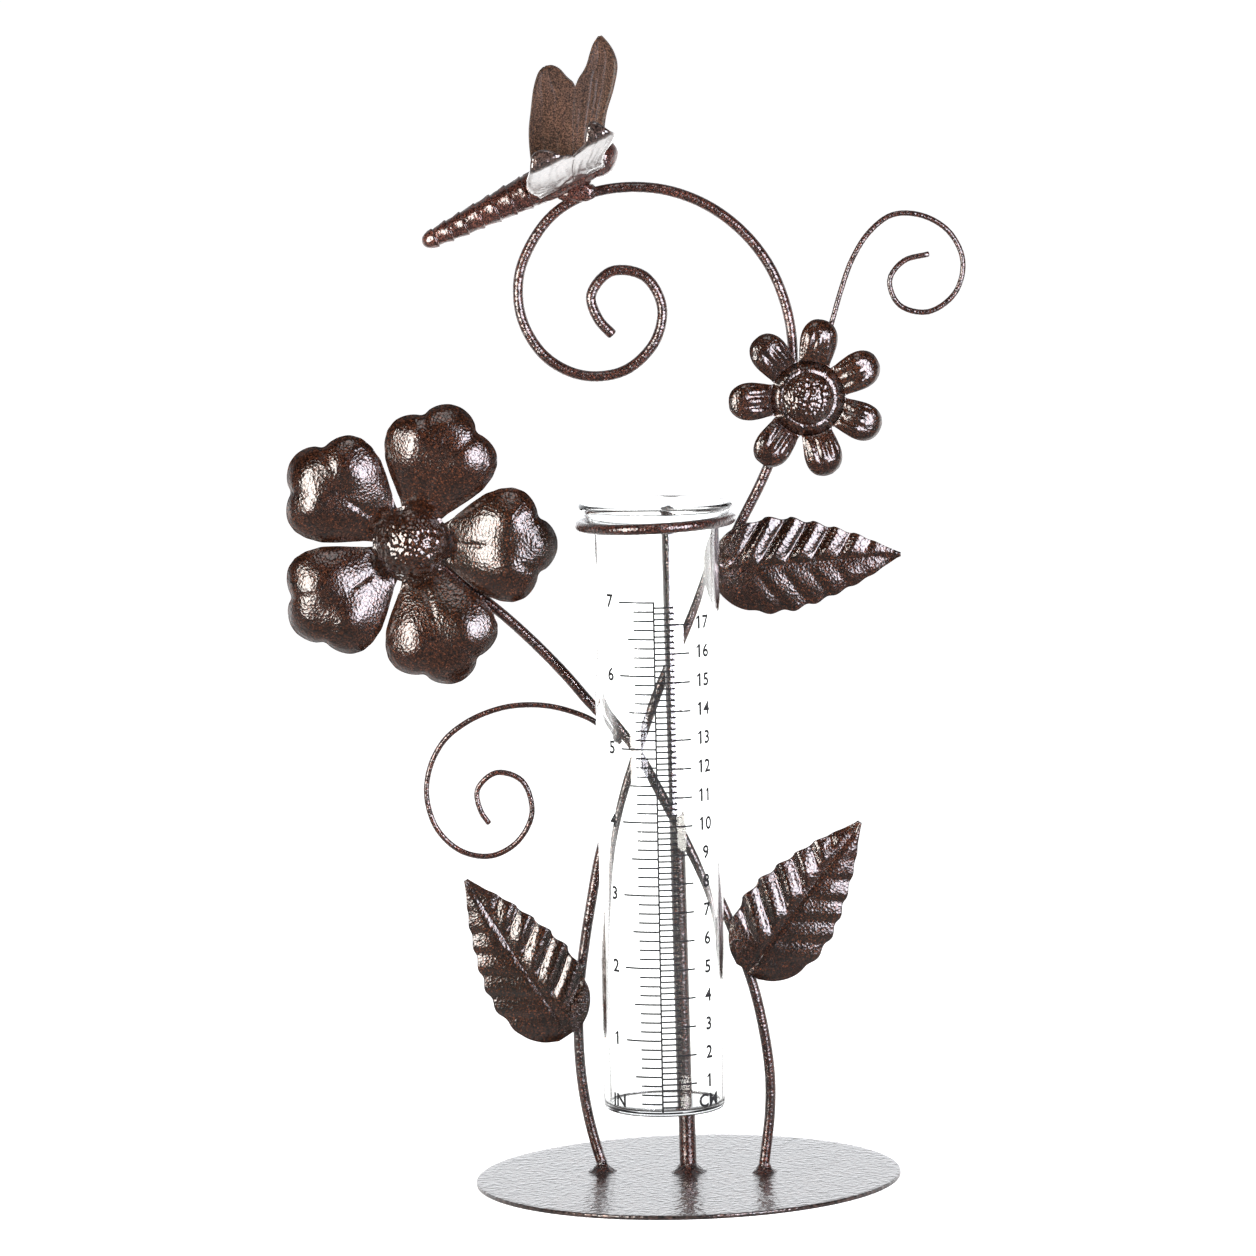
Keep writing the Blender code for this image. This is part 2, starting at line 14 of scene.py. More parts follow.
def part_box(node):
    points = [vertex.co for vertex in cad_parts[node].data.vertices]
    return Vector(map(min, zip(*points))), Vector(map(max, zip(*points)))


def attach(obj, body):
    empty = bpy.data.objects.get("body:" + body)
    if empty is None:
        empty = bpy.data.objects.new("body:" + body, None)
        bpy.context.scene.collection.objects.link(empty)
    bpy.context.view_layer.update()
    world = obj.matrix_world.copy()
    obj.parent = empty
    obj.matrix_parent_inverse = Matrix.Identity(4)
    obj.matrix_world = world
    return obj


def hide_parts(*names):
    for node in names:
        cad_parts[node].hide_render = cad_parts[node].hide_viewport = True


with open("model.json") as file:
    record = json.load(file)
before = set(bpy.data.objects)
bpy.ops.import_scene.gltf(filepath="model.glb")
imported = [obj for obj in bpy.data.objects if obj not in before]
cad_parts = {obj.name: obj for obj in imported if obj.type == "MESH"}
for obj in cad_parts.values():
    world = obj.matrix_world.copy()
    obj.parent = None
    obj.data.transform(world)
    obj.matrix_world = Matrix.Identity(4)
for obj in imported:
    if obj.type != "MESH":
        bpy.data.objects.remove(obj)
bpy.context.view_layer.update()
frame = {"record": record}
SLOTS = {part["node"]: part["material_slot"] for part in frame["record"]["subparts"]}

MM = 0.001
SHEET = 0.9 * MM  # thickness of the pressed pieces and the flowers' caps
ROD_RADIUS = 1.9 * MM  # the bent rods and the tube's ring

# Sizes that the frame gives
BASE_LOW, BASE_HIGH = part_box("base_plate")
BASE_RADIUS = (BASE_HIGH.x - BASE_LOW.x) / 2
BASE_TOP = BASE_HIGH.z
POST_LOW, POST_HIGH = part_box("center_post")
POST_RADIUS = (POST_HIGH.x - POST_LOW.x) / 2
POST_Y = (POST_HIGH.y + POST_LOW.y) / 2
RING_LOW, RING_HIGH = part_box("holder_ring")
RING_RADIUS = (RING_HIGH.y - RING_LOW.y) / 2 - ROD_RADIUS
RING_CENTRE = (RING_LOW + RING_HIGH) / 2
RING_TILT = math.radians(-1.5)

# Bent rods: (x, z) in millimetres, each in a plane of constant y that its CAD node gives
ROUTES = {
    "flower_stem": [
        (26.5, 2.2), (27.8, 11), (29.3, 22), (29.8, 35), (28.5, 49), (25.3, 66), (20.7, 81),
        (14.9, 96.5), (7.9, 111), (0.5, 125.2), (-7, 139.5), (-14.2, 152.5), (-21.7, 161.6),
        (-29.6, 170), (-38, 180.3), (-47.5, 190.7), (-57.5, 200.5), (-72, 213), (-86, 224.5),
    ],
    "scroll_stem": [
        (-30.0, 2.4), (-32.2, 10), (-34.6, 20), (-36.7, 33.8), (-37.5, 50), (-36.7, 67),
        (-34.4, 83), (-31.5, 98.5), (-28.2, 114), (-22.4, 132), (-14.2, 152), (-4.6, 175),
        (5.9, 194.5), (15.2, 212.5), (24.5, 230.3), (33.3, 246.8), (39.6, 262), (43.5, 277),
        (44.8, 291.9), (42.8, 306.9), (37.4, 321), (28.5, 333.1), (16.7, 342.5), (2.8, 348.3),
        (-12.3, 349.9), (-26, 347.6), (-37.5, 341.2), (-46, 330.5), (-50.4, 318.8),
        (-49.6, 304.6), (-41.8, 291.4), (-28.9, 284.5), (-14.2, 285.8), (-3.3, 295.7),
        (-0.6, 308), (-6.5, 318.7), (-18, 320.6), (-25.2, 312.5), (-22.9, 304), (-18, 298.3),
    ],
    "left_scroll": [
        (-20.7, 155.7), (-24.6, 160.3), (-29.4, 164.2), (-36.1, 167.2), (-43.5, 169.3),
        (-51.2, 170.1), (-59, 169.6), (-66.6, 167.6), (-73.9, 164.2), (-81.2, 158.5),
        (-86.5, 149.3), (-88.1, 138.3), (-84.6, 126.7), (-76.4, 118.9), (-66, 117),
        (-56.6, 121.9), (-51.3, 132), (-54.5, 143.3), (-63.5, 146.4), (-70.2, 140.6),
        (-69.3, 133), (-66.4, 128.4),
    ],
    "right_scroll": [
        (43.6, 263.5), (46.2, 272), (49.4, 279), (53.1, 286.3), (56.6, 293.9), (59.1, 301.5),
        (62, 310.8), (66.3, 322), (72.6, 331.6), (80.9, 337.5), (91.2, 337), (100.6, 331),
        (105.2, 320.5), (102.2, 309.6), (92.6, 303.2), (82.6, 305.9), (79.4, 314.6),
        (84.4, 321.2), (93.5, 323.5),
    ],
}

# Leaves: where the midrib starts and ends, (x, z) in millimetres
LEAVES = {
    "leaf_lower_left": ((-40.6, 51.6), (-74.8, 106.5)),
    "leaf_lower_right": ((22.8, 73.9), (63.5, 125.6)),
    "leaf_upper_right": ((14.8, 214.9), (80.7, 218.7)),
}
LEAF_LENGTH = 66.0 * MM
LEAF_HALF_WIDTH = 16.4 * MM
LEAF_OUTLINE = [
    (0.0, 0.28), (0.05, 0.62), (0.13, 0.86), (0.25, 0.99), (0.38, 1.0), (0.52, 0.88),
    (0.66, 0.69), (0.80, 0.46), (0.92, 0.2), (1.0, 0.03),
]

# Flowers: middle is a petal's own centre; profiles are (distance from the flower's centre, value), in mm
LARGE_FLOWER = {
    "stem": "flower_stem", "centre": (-90.4, 228.2), "facing": -1.0, "turn": -1.6,
    "petals": 5, "middle": 32.0,
}
SMALL_FLOWER = {
    "stem": "scroll_stem", "centre": (49.5, 274.4), "facing": 8.0, "turn": -25.0,
    "petals": 7, "middle": 20.0,
}
LARGE_PETAL_WIDTH = [
    (11.4, 7.3), (17.1, 11.1), (21.4, 14.5), (26.1, 17.7), (31.4, 19.6), (35.6, 19.9), (39.4, 18.6),
    (42.4, 16.5), (45, 13.5), (48, 9.5), (50.9, 4.0),
]
LARGE_PETAL_HEIGHT = [
    (11.4, 0), (15, 1.6), (19.5, 4.0), (25, 6.4), (31, 7.8), (37, 8.0), (42, 6.8), (46, 5.0),
    (50.9, 2.0),
]
LARGE_PETAL_SIDE = [
    (11.4, 7.3), (13.3, 8.4), (17.1, 11.1), (21.4, 14.5), (26.1, 17.7), (31.4, 19.6), (35.6, 19.9),
    (39.4, 18.5), (42.2, 15.6), (43.7, 12.4), (44.2, 10.3), (45.1, 9.1), (46.8, 8.2), (48.6, 6.4),
    (50.0, 4.0), (50.8, 1.6), (50.9, 0),
]
SMALL_PETAL_WIDTH = [(12, 5.6), (15, 5.8), (17.4, 6.2), (20.8, 6.5), (23.9, 6.0), (26.2, 4.5), (27.8, 2)]
SMALL_PETAL_HEIGHT = [(12, 0), (14.5, 1.1), (17.4, 2.2), (20.8, 2.9), (24, 2.5), (26.4, 1.5), (27.8, 0.7)]
SMALL_PETAL_SIDE = [
    (12.0, 5.5), (14.6, 5.7), (17.4, 6.1), (20.6, 6.4), (23.7, 5.9), (26.1, 4.4), (27.5, 2.3),
    (27.8, 0),
]

# Dragonfly: (station along the body from the tail end, radius) in millimetres
DRAGONFLY_PIVOT = Vector((-31.0 * MM, 10.2 * MM, 356.3 * MM))
PIVOT_STATION = 58.0
DRAGONFLY_CLIMB = math.radians(24.6)
TAIL_RINGS = [
    (5.5, 3.7), (11.0, 4.2), (16.8, 4.7), (22.7, 5.1), (28.8, 5.5), (35.1, 6.0), (41.2, 6.3),
]
TAIL_RING_STEP = 0.55
TAIL_TIP = [(0, 0.0), (0.3, 1.2), (1.0, 2.2), (2.2, 3.0)]
THORAX_AND_HEAD = [
    (43.5, 6.2), (46, 6.4), (49.9, 6.9), (56, 7.0), (61.7, 7.0), (64.3, 6.4), (65.4, 6.35),
    (67.1, 6.8), (69.0, 6.9), (71.0, 6.5), (73.0, 5.2), (74.5, 3.7), (75.6, 2.0), (76.0, 0.0),
]
WING_FOLD_OUT = 8.2  # the wings' root line stands this far in front of the body's axis
WING_FOLD_DROP = 3.5  # and this far below it
WING_SHEET = 0.7 * MM
# Wings: (distance out from the root line, station of the trailing edge, station of the leading edge)
HIND_WING_ROWS = [
    (0, 44.5, 57.5), (8, 43.0, 58.5), (16, 42.6, 59.5), (23, 43.2, 60.8), (29.4, 44.9, 62.1),
    (34, 46.2, 59.2), (37.4, 47.7, 57.0), (39.6, 49.4, 54.4), (40.4, 51.2, 52.0),
]
FORE_WING_ROWS = [
    (0, 57.5, 69.5), (8, 58.5, 70.2), (16, 59.5, 72.4), (23, 60.8, 76.2), (29.4, 62.1, 78.4),
    (34, 66.8, 77.7), (37.4, 68.8, 76.2), (39.8, 70.4, 74.7), (41.5, 72.6, 73.4),
]
# (degrees above level at the root, more at the tip, where the bend starts and ends, lean to the head)
WING_PAIRS = {"upper": (92.0, -14.0, 0.0, 41.5, 0.36), "lower": (16.8, 86.0, 33.0, 38.0, 0.0)}


# ---------------------------------------- small tools

def value_at(profile, where):
    """The profile's value there, in straight lines between its points."""
    if where <= profile[0][0]:
        return profile[0][1]
    for (start, low), (end, high) in zip(profile, profile[1:]):
        if where <= end:
            return low + (high - low) * (where - start) / (end - start)
    return profile[-1][1]


def ease(low, high, value):
    """0 below low, 1 above high, and smooth between them."""
    t = min(1.0, max(0.0, (value - low) / (high - low)))
    return t * t * (3 - 2 * t)


def hump(value, centre, width):
    """1 at the centre, falling away on both sides as a bell."""
    return math.exp(-((value - centre) / width) ** 2)


def smooth_points(knots, spacing):
    """Points along a centripetal curve through the knots, which are Vectors."""
    knots = [2 * knots[0] - knots[1]] + knots + [2 * knots[-1] - knots[-2]]
    points = [knots[1].copy()]
    for before, start, end, after in zip(knots, knots[1:], knots[2:], knots[3:]):
        gaps = [math.sqrt((b - a).length) for a, b in ((before, start), (start, end), (end, after))]
        leave = (start - before) / gaps[0] - (end - before) / (gaps[0] + gaps[1]) + (end - start) / gaps[1]
        arrive = (end - start) / gaps[1] - (after - start) / (gaps[1] + gaps[2]) + (after - end) / gaps[2]
        leave *= gaps[1]
        arrive *= gaps[1]
        steps = max(1, round((end - start).length / spacing))
        for step in range(1, steps + 1):
            t = step / steps
            points.append(
                (2 * t**3 - 3 * t**2 + 1) * start + (t**3 - 2 * t**2 + t) * leave
                + (3 * t**2 - 2 * t**3) * end + (t**3 - t**2) * arrive
            )
    return points


def smooth_profile(pairs, spacing):
    """A smooth curve through pairs of numbers, as more pairs."""
    return [(p.x, p.z) for p in smooth_points([Vector((a, 0.0, b)) for a, b in pairs], spacing)]


def strip(bm, rows, closed=False):
    """Quads between rows of vertices of equal length."""
    for near, far in zip(rows, rows[1:]):
        count = len(near)
        for left in range(count if closed else count - 1):
            right = (left + 1) % count
            bm.faces.new((near[left], near[right], far[right], far[left]))


def fan(bm, ring, middle):
    """Triangles from a closed ring of vertices to one in its middle."""
    for one, two in zip(ring, ring[1:] + ring[:1]):
        bm.faces.new((one, two, middle))


def add_piece(name, bm, material, node=None, body="stand"):
    """Turns the bmesh into a smooth-shaded piece that rides on a body and stands for a CAD node."""
    bmesh.ops.recalc_face_normals(bm, faces=bm.faces)
    mesh = bpy.data.meshes.new(name)
    bm.to_mesh(mesh)
    bm.free()
    mesh.shade_smooth()
    mesh.set_sharp_from_angle(angle=math.radians(50))
    mesh.materials.append(material)
    piece = bpy.data.objects.new(name, mesh)
    bpy.context.scene.collection.objects.link(piece)
    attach(piece, body)
    if node:
        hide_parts(node)
    return piece


def thicken(piece, thickness=SHEET):
    """Gives an open surface its sheet thickness, half to each side."""
    shell = piece.modifiers.new("sheet", "SOLIDIFY")
    shell.thickness = thickness
    shell.offset = 0.0
    shell.use_rim = True


def lathe(profile, segments, place, bumps=None):
    """Spins (radius, height) pairs about the Z axis of place; bumps(point) adds to the radius."""
    bm = bmesh.new()
    rows = []
    for radius, height in profile:
        up = Vector((0.0, 0.0, height))
        if radius == 0.0:
            rows.append([bm.verts.new(place @ up)])
            continue
        ring = []
        for segment in range(segments):
            angle = math.tau * segment / segments
            out = Vector((math.cos(angle), math.sin(angle), 0.0))
            point = out * radius + up
            if bumps:
                point += out * bumps(point)
            ring.append(bm.verts.new(place @ point))
        rows.append(ring)
    for near, far in zip(rows, rows[1:]):
        if len(near) == len(far) == 1:
            continue
        if len(near) == 1:
            fan(bm, far, near[0])
        elif len(far) == 1:
            fan(bm, near, far[0])
        else:
            strip(bm, [near, far], closed=True)
    return bm


# ---------------------------------------- materials

def new_material(name):
    material = bpy.data.materials.new(name)
    material.use_nodes = True
    nodes = material.node_tree.nodes
    return material, nodes, material.node_tree.links, nodes["Principled BSDF"]


def give(node, values):
    """Sets a node's inputs, by name."""
    for name, value in values.items():
        node.inputs[name].default_value = value


def texture(nodes, links, kind, coordinates, scale, **settings):
    node = nodes.new(kind)
    links.new(coordinates, node.inputs["Vector"])
    give(node, {"Scale": scale, **settings})
    return node


def maths(nodes, links, operation, *values):
    """A maths node's result; each value is a number or another node's socket."""
    node = nodes.new("ShaderNodeMath")
    node.operation = operation
    for socket, value in zip(node.inputs, values):
        if isinstance(value, float):
            socket.default_value = value
        else:
            links.new(value, socket)
    return node.outputs[0]


def ramp(nodes, links, source, stops):
    """Colours for a value, as stops of (position, colour)."""
    node = nodes.new("ShaderNodeValToRGB")
    links.new(source, node.inputs["Fac"])
    elements = node.color_ramp.elements
    while len(elements) < len(stops):
        elements.new(0.5)
    for element, (position, colour) in zip(elements, stops):
        element.position = position
        element.color = (*colour, 1.0)
    return node


def multiplied(nodes, links, first, second):
    node = nodes.new("ShaderNodeMix")
    node.data_type = "RGBA"
    node.blend_type = "MULTIPLY"
    give(node, {"Factor": 1.0})
    links.new(first, node.inputs["A"])
    links.new(second, node.inputs["B"])
    return node.outputs["Result"]


def bumped(nodes, links, height, strength, distance):
    node = nodes.new("ShaderNodeBump")
    give(node, {"Strength": strength, "Distance": distance})
    links.new(height, node.inputs["Height"])
    return node.outputs["Normal"]


# What the coat's base colour is multiplied by, and how much the fine grit adds to the pools' relief
COAT_SPECKLE = [(0.41, (0.12, 0.12, 0.13)), (0.61, (2.15, 1.95, 1.85))]
COAT_CLOUDS = [(0.3, (0.7, 0.7, 0.72)), (0.7, (1.2, 1.12, 1.1))]
GRIT_IN_RELIEF = 0.40


def hammered_coat(name, dark, warm, cell, relief, roughness, metallic=0.3, coat=0.7):
    """Bronze hammertone powder coat: pools a millimetre across that each catch a glint of their own.

    cell is the pools' size and relief their depth, in millimetres.  The pools' middles are warm
    and run into darker seams.
    """
    material, nodes, links, shader = new_material("hammered_bronze_" + name)
    cell *= MM
    relief *= MM
    where = nodes.new("ShaderNodeTexCoord").outputs["Object"]
    warp = texture(nodes, links, "ShaderNodeTexNoise", where, 0.9 / cell, Detail=1.0)
    bent = nodes.new("ShaderNodeVectorMath")
    bent.operation = "MULTIPLY_ADD"
    links.new(warp.outputs["Color"], bent.inputs[0])
    bent.inputs[1].default_value = (0.7 * cell,) * 3
    links.new(where, bent.inputs[2])
    pools = texture(nodes, links, "ShaderNodeTexVoronoi", bent.outputs[0], 1.0 / cell)
    grit = texture(nodes, links, "ShaderNodeTexNoise", where, 1.6 / cell, Detail=3.0, Roughness=0.65)
    clouds = texture(nodes, links, "ShaderNodeTexNoise", where, 60.0, Detail=2.0)

    seams = ramp(nodes, links, pools.outputs["Distance"], [(0.15, warm), (0.62, dark)])
    speckled = ramp(nodes, links, grit.outputs["Fac"], COAT_SPECKLE)
    clouded = ramp(nodes, links, clouds.outputs["Fac"], COAT_CLOUDS)
    colour = multiplied(nodes, links, seams.outputs["Color"], speckled.outputs["Color"])
    colour = multiplied(nodes, links, colour, clouded.outputs["Color"])
    links.new(colour, shader.inputs["Base Color"])

    bowls = maths(nodes, links, "POWER", pools.outputs["Distance"], 2.0)
    height = maths(nodes, links, "MULTIPLY_ADD", grit.outputs["Fac"], GRIT_IN_RELIEF, bowls)
    normal = bumped(nodes, links, height, 1.0, relief)
    links.new(normal, shader.inputs["Normal"])
    links.new(normal, shader.inputs["Coat Normal"])

    gloss = nodes.new("ShaderNodeMapRange")
    links.new(grit.outputs["Fac"], gloss.inputs["Value"])
    give(gloss, {"To Min": roughness * 0.8, "To Max": roughness * 1.3})
    links.new(gloss.outputs["Result"], shader.inputs["Roughness"])
    give(shader, {"Metallic": metallic, "Coat Weight": coat, "Coat Roughness": 0.06})
    return material


def clear_glass():
    """Soda glass with the faintest draw lines along it."""
    material, nodes, links, shader = new_material("clear_glass")
    give(shader, {"Base Color": (0.985, 0.995, 0.99, 1.0), "Roughness": 0.0, "IOR": 1.47})
    give(shader, {"Transmission Weight": 1.0})
    stretch = nodes.new("ShaderNodeMapping")
    give(stretch, {"Scale": (1.0, 1.0, 0.06)})
    links.new(nodes.new("ShaderNodeTexCoord").outputs["Object"], stretch.inputs["Vector"])
    lines = texture(nodes, links, "ShaderNodeTexNoise", stretch.outputs["Vector"], 160.0, Detail=1.0)
    links.new(bumped(nodes, links, lines.outputs["Fac"], 0.25, 0.05 * MM), shader.inputs["Normal"])
    return material


def scale_ink():
    """Fired black ink, thin enough in spots to look slightly worn."""
    material, nodes, links, shader = new_material("scale_ink")
    where = nodes.new("ShaderNodeTexCoord").outputs["Object"]
    wear = texture(nodes, links, "ShaderNodeTexNoise", where, 900.0, Detail=3.0)
    blacks = [(0.35, (0.004, 0.004, 0.005)), (0.75, (0.02, 0.02, 0.021))]
    tone = ramp(nodes, links, wear.outputs["Fac"], blacks)
    links.new(tone.outputs["Color"], shader.inputs["Base Color"])
    give(shader, {"Roughness": 0.6, "Specular IOR Level": 0.2})
    return material


DARK_BROWN = (0.0125, 0.0050, 0.0025)
WARM_BROWN = (0.050, 0.0185, 0.0082)
COAT = {
    "sheet": hammered_coat("sheet", DARK_BROWN, WARM_BROWN, 0.95, 0.09, 0.22),
    "boss": hammered_coat("boss", DARK_BROWN, WARM_BROWN, 0.9, 0.05, 0.2),
    "rod": hammered_coat("rod", (0.017, 0.0075, 0.0058), (0.080, 0.031, 0.021), 0.9, 0.11, 0.22),
    "body": hammered_coat("body", (0.036, 0.014, 0.010), (0.090, 0.036, 0.026), 1.0, 0.08, 0.24),
    # The upper pair's coat is lighter and duller than the sheet coat: its milky sheen is painted into its
    # colour.
    "upper_wing": hammered_coat(
        "wing", (0.036, 0.021, 0.013), (0.060, 0.034, 0.021), 0.8, 0.03, 0.46, metallic=0.0, coat=0.10
    ),
    # The lower pair's coat is a lighter, greyer and glossier copy of the wing coat: its silver look is
    # partly real reflection from the strong coat and partly painted sheen in its grey colour.
    "lower_wing": hammered_coat(
        "wing_painted_silver_sheen", (0.030, 0.019, 0.015), (0.07, 0.05, 0.042), 1.0, 0.05, 0.3, metallic=0.4, coat=1.0
    ),
    # The plate's coat is a lighter, greyer copy of the same paint: its silver-grey look is partly real
    # reflection from its metal and gloss and partly painted reflection in its colour.
    "plate": hammered_coat("plate", (0.030, 0.022, 0.020), (0.06, 0.042, 0.036), 2.0, 0.17, 0.22, 0.6),
    "weld": hammered_coat("weld", (0.012, 0.006, 0.005), (0.045, 0.018, 0.012), 1.1, 0.2, 0.26),
}
give(COAT["upper_wing"].node_tree.nodes["Principled BSDF"], {"Specular IOR Level": 0.15})
give(COAT["lower_wing"].node_tree.nodes["Principled BSDF"], {"Coat IOR": 1.75})
GLASS = clear_glass()


# ---------------------------------------- stand

def base_plate():
    """A punched steel disc: its upper edge is rolled by the punch and its lower one deburred."""
    edge, burr = 0.55 * MM, 0.35 * MM
    rings, steps = 24, 6
    rim = BASE_RADIUS
    profile = [(rim * ring / rings, BASE_TOP) for ring in range(rings)]
    for step in range(steps + 1):
        angle = math.radians(90 - 90 * step / steps)
        profile.append((rim - edge + edge * math.cos(angle), BASE_TOP - edge + edge * math.sin(angle)))
    profile += [(rim, burr), (rim - 0.1 * MM, 0.1 * MM), (rim - burr, 0.0), (0.0, 0.0)]
    add_piece("round_base", lathe(profile, 192, Matrix.Identity(4)), COAT["plate"], "base_plate")


def rod(name, node, points, radius, sides=22):
    """A round rod in a plane of constant y, its cut ends slightly eased."""
    ease_off = min(0.35 * MM, radius * 0.3)
    aside = Vector((0.0, 1.0, 0.0))
    stations = []
    for index, point in enumerate(points):
        before = points[max(0, index - 1)]
        after = points[min(len(points) - 1, index + 1)]
        stations.append((point, (after - before).normalized(), radius))
    first, last = stations[0], stations[-1]
    stations[0] = (first[0] + first[1] * ease_off, first[1], radius)
    stations[-1] = (last[0] - last[1] * ease_off, last[1], radius)
    stations.insert(0, (first[0], first[1], radius - ease_off))
    stations.append((last[0], last[1], radius - ease_off))
    bm = bmesh.new()
    rings = []
    for centre, along, reach in stations:
        up = along.cross(aside).normalized()
        ring = []
        for side in range(sides):
            angle = math.tau * side / sides
            ring.append(bm.verts.new(centre + reach * (math.cos(angle) * up + math.sin(angle) * aside)))
        rings.append(ring)
    strip(bm, rings, closed=True)
    fan(bm, rings[0], bm.verts.new(first[0]))
    fan(bm, rings[-1], bm.verts.new(last[0]))
    add_piece(name, bm, COAT["rod"], node)


def rods():
    post = [Vector((0.0, POST_Y, POST_LOW.z + (POST_HIGH.z - POST_LOW.z) * step / 60)) for step in range(61)]
    rod("upright_post", "center_post", post, POST_RADIUS, 28)
    for node, route in ROUTES.items():
        low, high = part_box(node)
        y = (low.y + high.y) / 2
        radius = (high.y - low.y) / 2
        points = smooth_points([Vector((x * MM, y, z * MM)) for x, z in route], 1.6 * MM)
        rod(node + "_wire", node, points, radius)


def holder_ring():
    """The tube's ring, bent from rod, slightly necked where its ends meet at the post."""
    place = Matrix.Translation(RING_CENTRE) @ Matrix.Rotation(RING_TILT, 4, "Y")
    around, sides = 144, 22
    bm = bmesh.new()
    rings = []
    for step in range(around):
        angle = math.tau * step / around
        out = Vector((math.cos(angle), math.sin(angle), 0.0))
        joint = hump(math.degrees(angle), 90, 1.6)
        reach = ROD_RADIUS * (1 - 0.12 * joint)
        ring = []
        for side in range(sides):
            turn = math.tau * side / sides
            point = out * (RING_RADIUS + reach * math.cos(turn)) + Vector((0, 0, reach * math.sin(turn)))
            ring.append(bm.verts.new(place @ point))
        rings.append(ring)
    strip(bm, rings + rings[:1], closed=True)
    add_piece("tube_holder_ring", bm, COAT["rod"], "holder_ring")


def foot_weld(node, name, spread):
    """A fillet of weld metal round a rod's foot, hollow-sided and uneven."""
    low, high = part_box(node)
    centre = (low + high) / 2
    inner = 0.9 * (POST_RADIUS if node == "post_foot_weld" else ROD_RADIUS)
    height = high.z - low.z
    steps = 10
    profile = []
    for step in range(steps + 1):
        t = step / steps
        profile.append((inner + (spread - inner) * (1 - t) ** 2.2, BASE_TOP + height * t))
    profile = [(0.0, BASE_TOP + height)] + profile[::-1] + [(0.0, BASE_TOP)]

    def bumps(point):
        wobble = noise.noise(point / (2.6 * MM) + centre * 500)
        return wobble * 0.10 * point.xy.length

    place = Matrix.Translation((centre.x, centre.y, 0.0))
    add_piece(name, lathe(profile, 48, place, bumps), COAT["weld"], node)


def tack_weld(node, fullness=1.0, coat="weld"):
    """A lump of weld metal in its CAD node's box, uneven from cooling; less than 1 is squarer."""
    low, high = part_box(node)
    centre = (low + high) / 2
    half = (high - low) / 2
    bm = bmesh.new()
    bmesh.ops.create_icosphere(bm, subdivisions=5, radius=1.0)
    for vertex in bm.verts:
        wobble = 1 + 0.10 * noise.noise(vertex.co * 2.2 + centre * 300) + 0.03 * noise.noise(vertex.co * 7)
        reach = min(1.0, wobble * 0.93)
        full = [math.copysign(abs(c) ** fullness, c) for c in vertex.co]
        vertex.co = centre + Vector([c * h * reach for c, h in zip(full, half)])
    add_piece(node + "_bead", bm, COAT[coat], node)


# ---------------------------------------- glass tube and its scale

TUBE_LEAN = math.radians(0.7)
TUBE_PLACE = (
    Matrix.Translation(RING_CENTRE) @ Matrix.Rotation(TUBE_LEAN, 4, "Y")
    @ Matrix.Translation((0.0, 0.0, -RING_CENTRE.z))
)
# Heights along the tube; its straight walls' ends are (height, radius)
TUBE_BOTTOM = 30.5 * MM
TUBE_TOP = 242.5 * MM
HEEL_HEIGHT = 5.0 * MM  # rounded foot below the wall
LIP_HEIGHT = 11.0 * MM  # flare above it
FLOOR_THICKNESS = 1.8 * MM
OUTSIDE_LOW = (TUBE_BOTTOM + HEEL_HEIGHT, 21.2 * MM)
OUTSIDE_HIGH = (TUBE_TOP - LIP_HEIGHT, 22.0 * MM)
BORE_LOW = (TUBE_BOTTOM + HEEL_HEIGHT, 19.7 * MM)
BORE_HIGH = (TUBE_TOP - LIP_HEIGHT, 20.5 * MM)


def between(low, high, rows):
    """(radius, height) pairs that divide a straight wall, without its two ends."""
    shares = [row / rows for row in range(1, rows)]
    return [(low[1] + (high[1] - low[1]) * t, low[0] + (high[0] - low[0]) * t) for t in shares]


def glass_tube():
    """Drawn glass tube with a thick flat bottom and a flared, fire-rolled lip."""
    top, low = TUBE_TOP, TUBE_BOTTOM
    lip = smooth_profile([
        (25.7 * MM, top), (26.5 * MM, top - 0.5 * MM), (26.8 * MM, top - 1.5 * MM),
        (26.3 * MM, top - 2.6 * MM), (25.3 * MM, top - 3.6 * MM), (24.1 * MM, top - 4.6 * MM),
        (23.0 * MM, top - 6.0 * MM), (22.3 * MM, top - 8.0 * MM), (OUTSIDE_HIGH[1], OUTSIDE_HIGH[0]),
    ], 0.35 * MM)
    heel = smooth_profile([
        (OUTSIDE_LOW[1], OUTSIDE_LOW[0]), (21.1 * MM, low + 1.8 * MM), (20.7 * MM, low + 0.6 * MM),
        (19.6 * MM, low),
    ], 0.3 * MM)
    floor_edge = smooth_profile([
        (18.3 * MM, low + FLOOR_THICKNESS), (19.1 * MM, low + 2.0 * MM), (19.55 * MM, low + 2.7 * MM),
        (BORE_LOW[1], BORE_LOW[0]),
    ], 0.3 * MM)
    throat = smooth_profile([
        (BORE_HIGH[1], BORE_HIGH[0]), (20.8 * MM, top - 7.6 * MM), (21.7 * MM, top - 5.0 * MM),
        (23.0 * MM, top - 2.8 * MM), (24.0 * MM, top - 1.0 * MM), (24.8 * MM, top - 0.15 * MM),
        (25.7 * MM, top),
    ], 0.35 * MM)
    wall = between(OUTSIDE_HIGH, OUTSIDE_LOW, 30)
    bore = between(BORE_LOW, BORE_HIGH, 30)
    under = [(radius * MM, low) for radius in (19.3, 19.0, 12.0, 5.0, 0.0)]
    inside = [(radius * MM, low + FLOOR_THICKNESS) for radius in (0.0, 5.0, 12.0, 17.6, 18.0)]
    bm = lathe(lip + wall + heel + under + inside + floor_edge + bore + throat[:-1], 160, TUBE_PLACE)
    bmesh.ops.bridge_loops(bm, edges=[edge for edge in bm.edges if edge.is_boundary])
    add_piece("measuring_tube", bm, GLASS, "glass_tube", "tube")


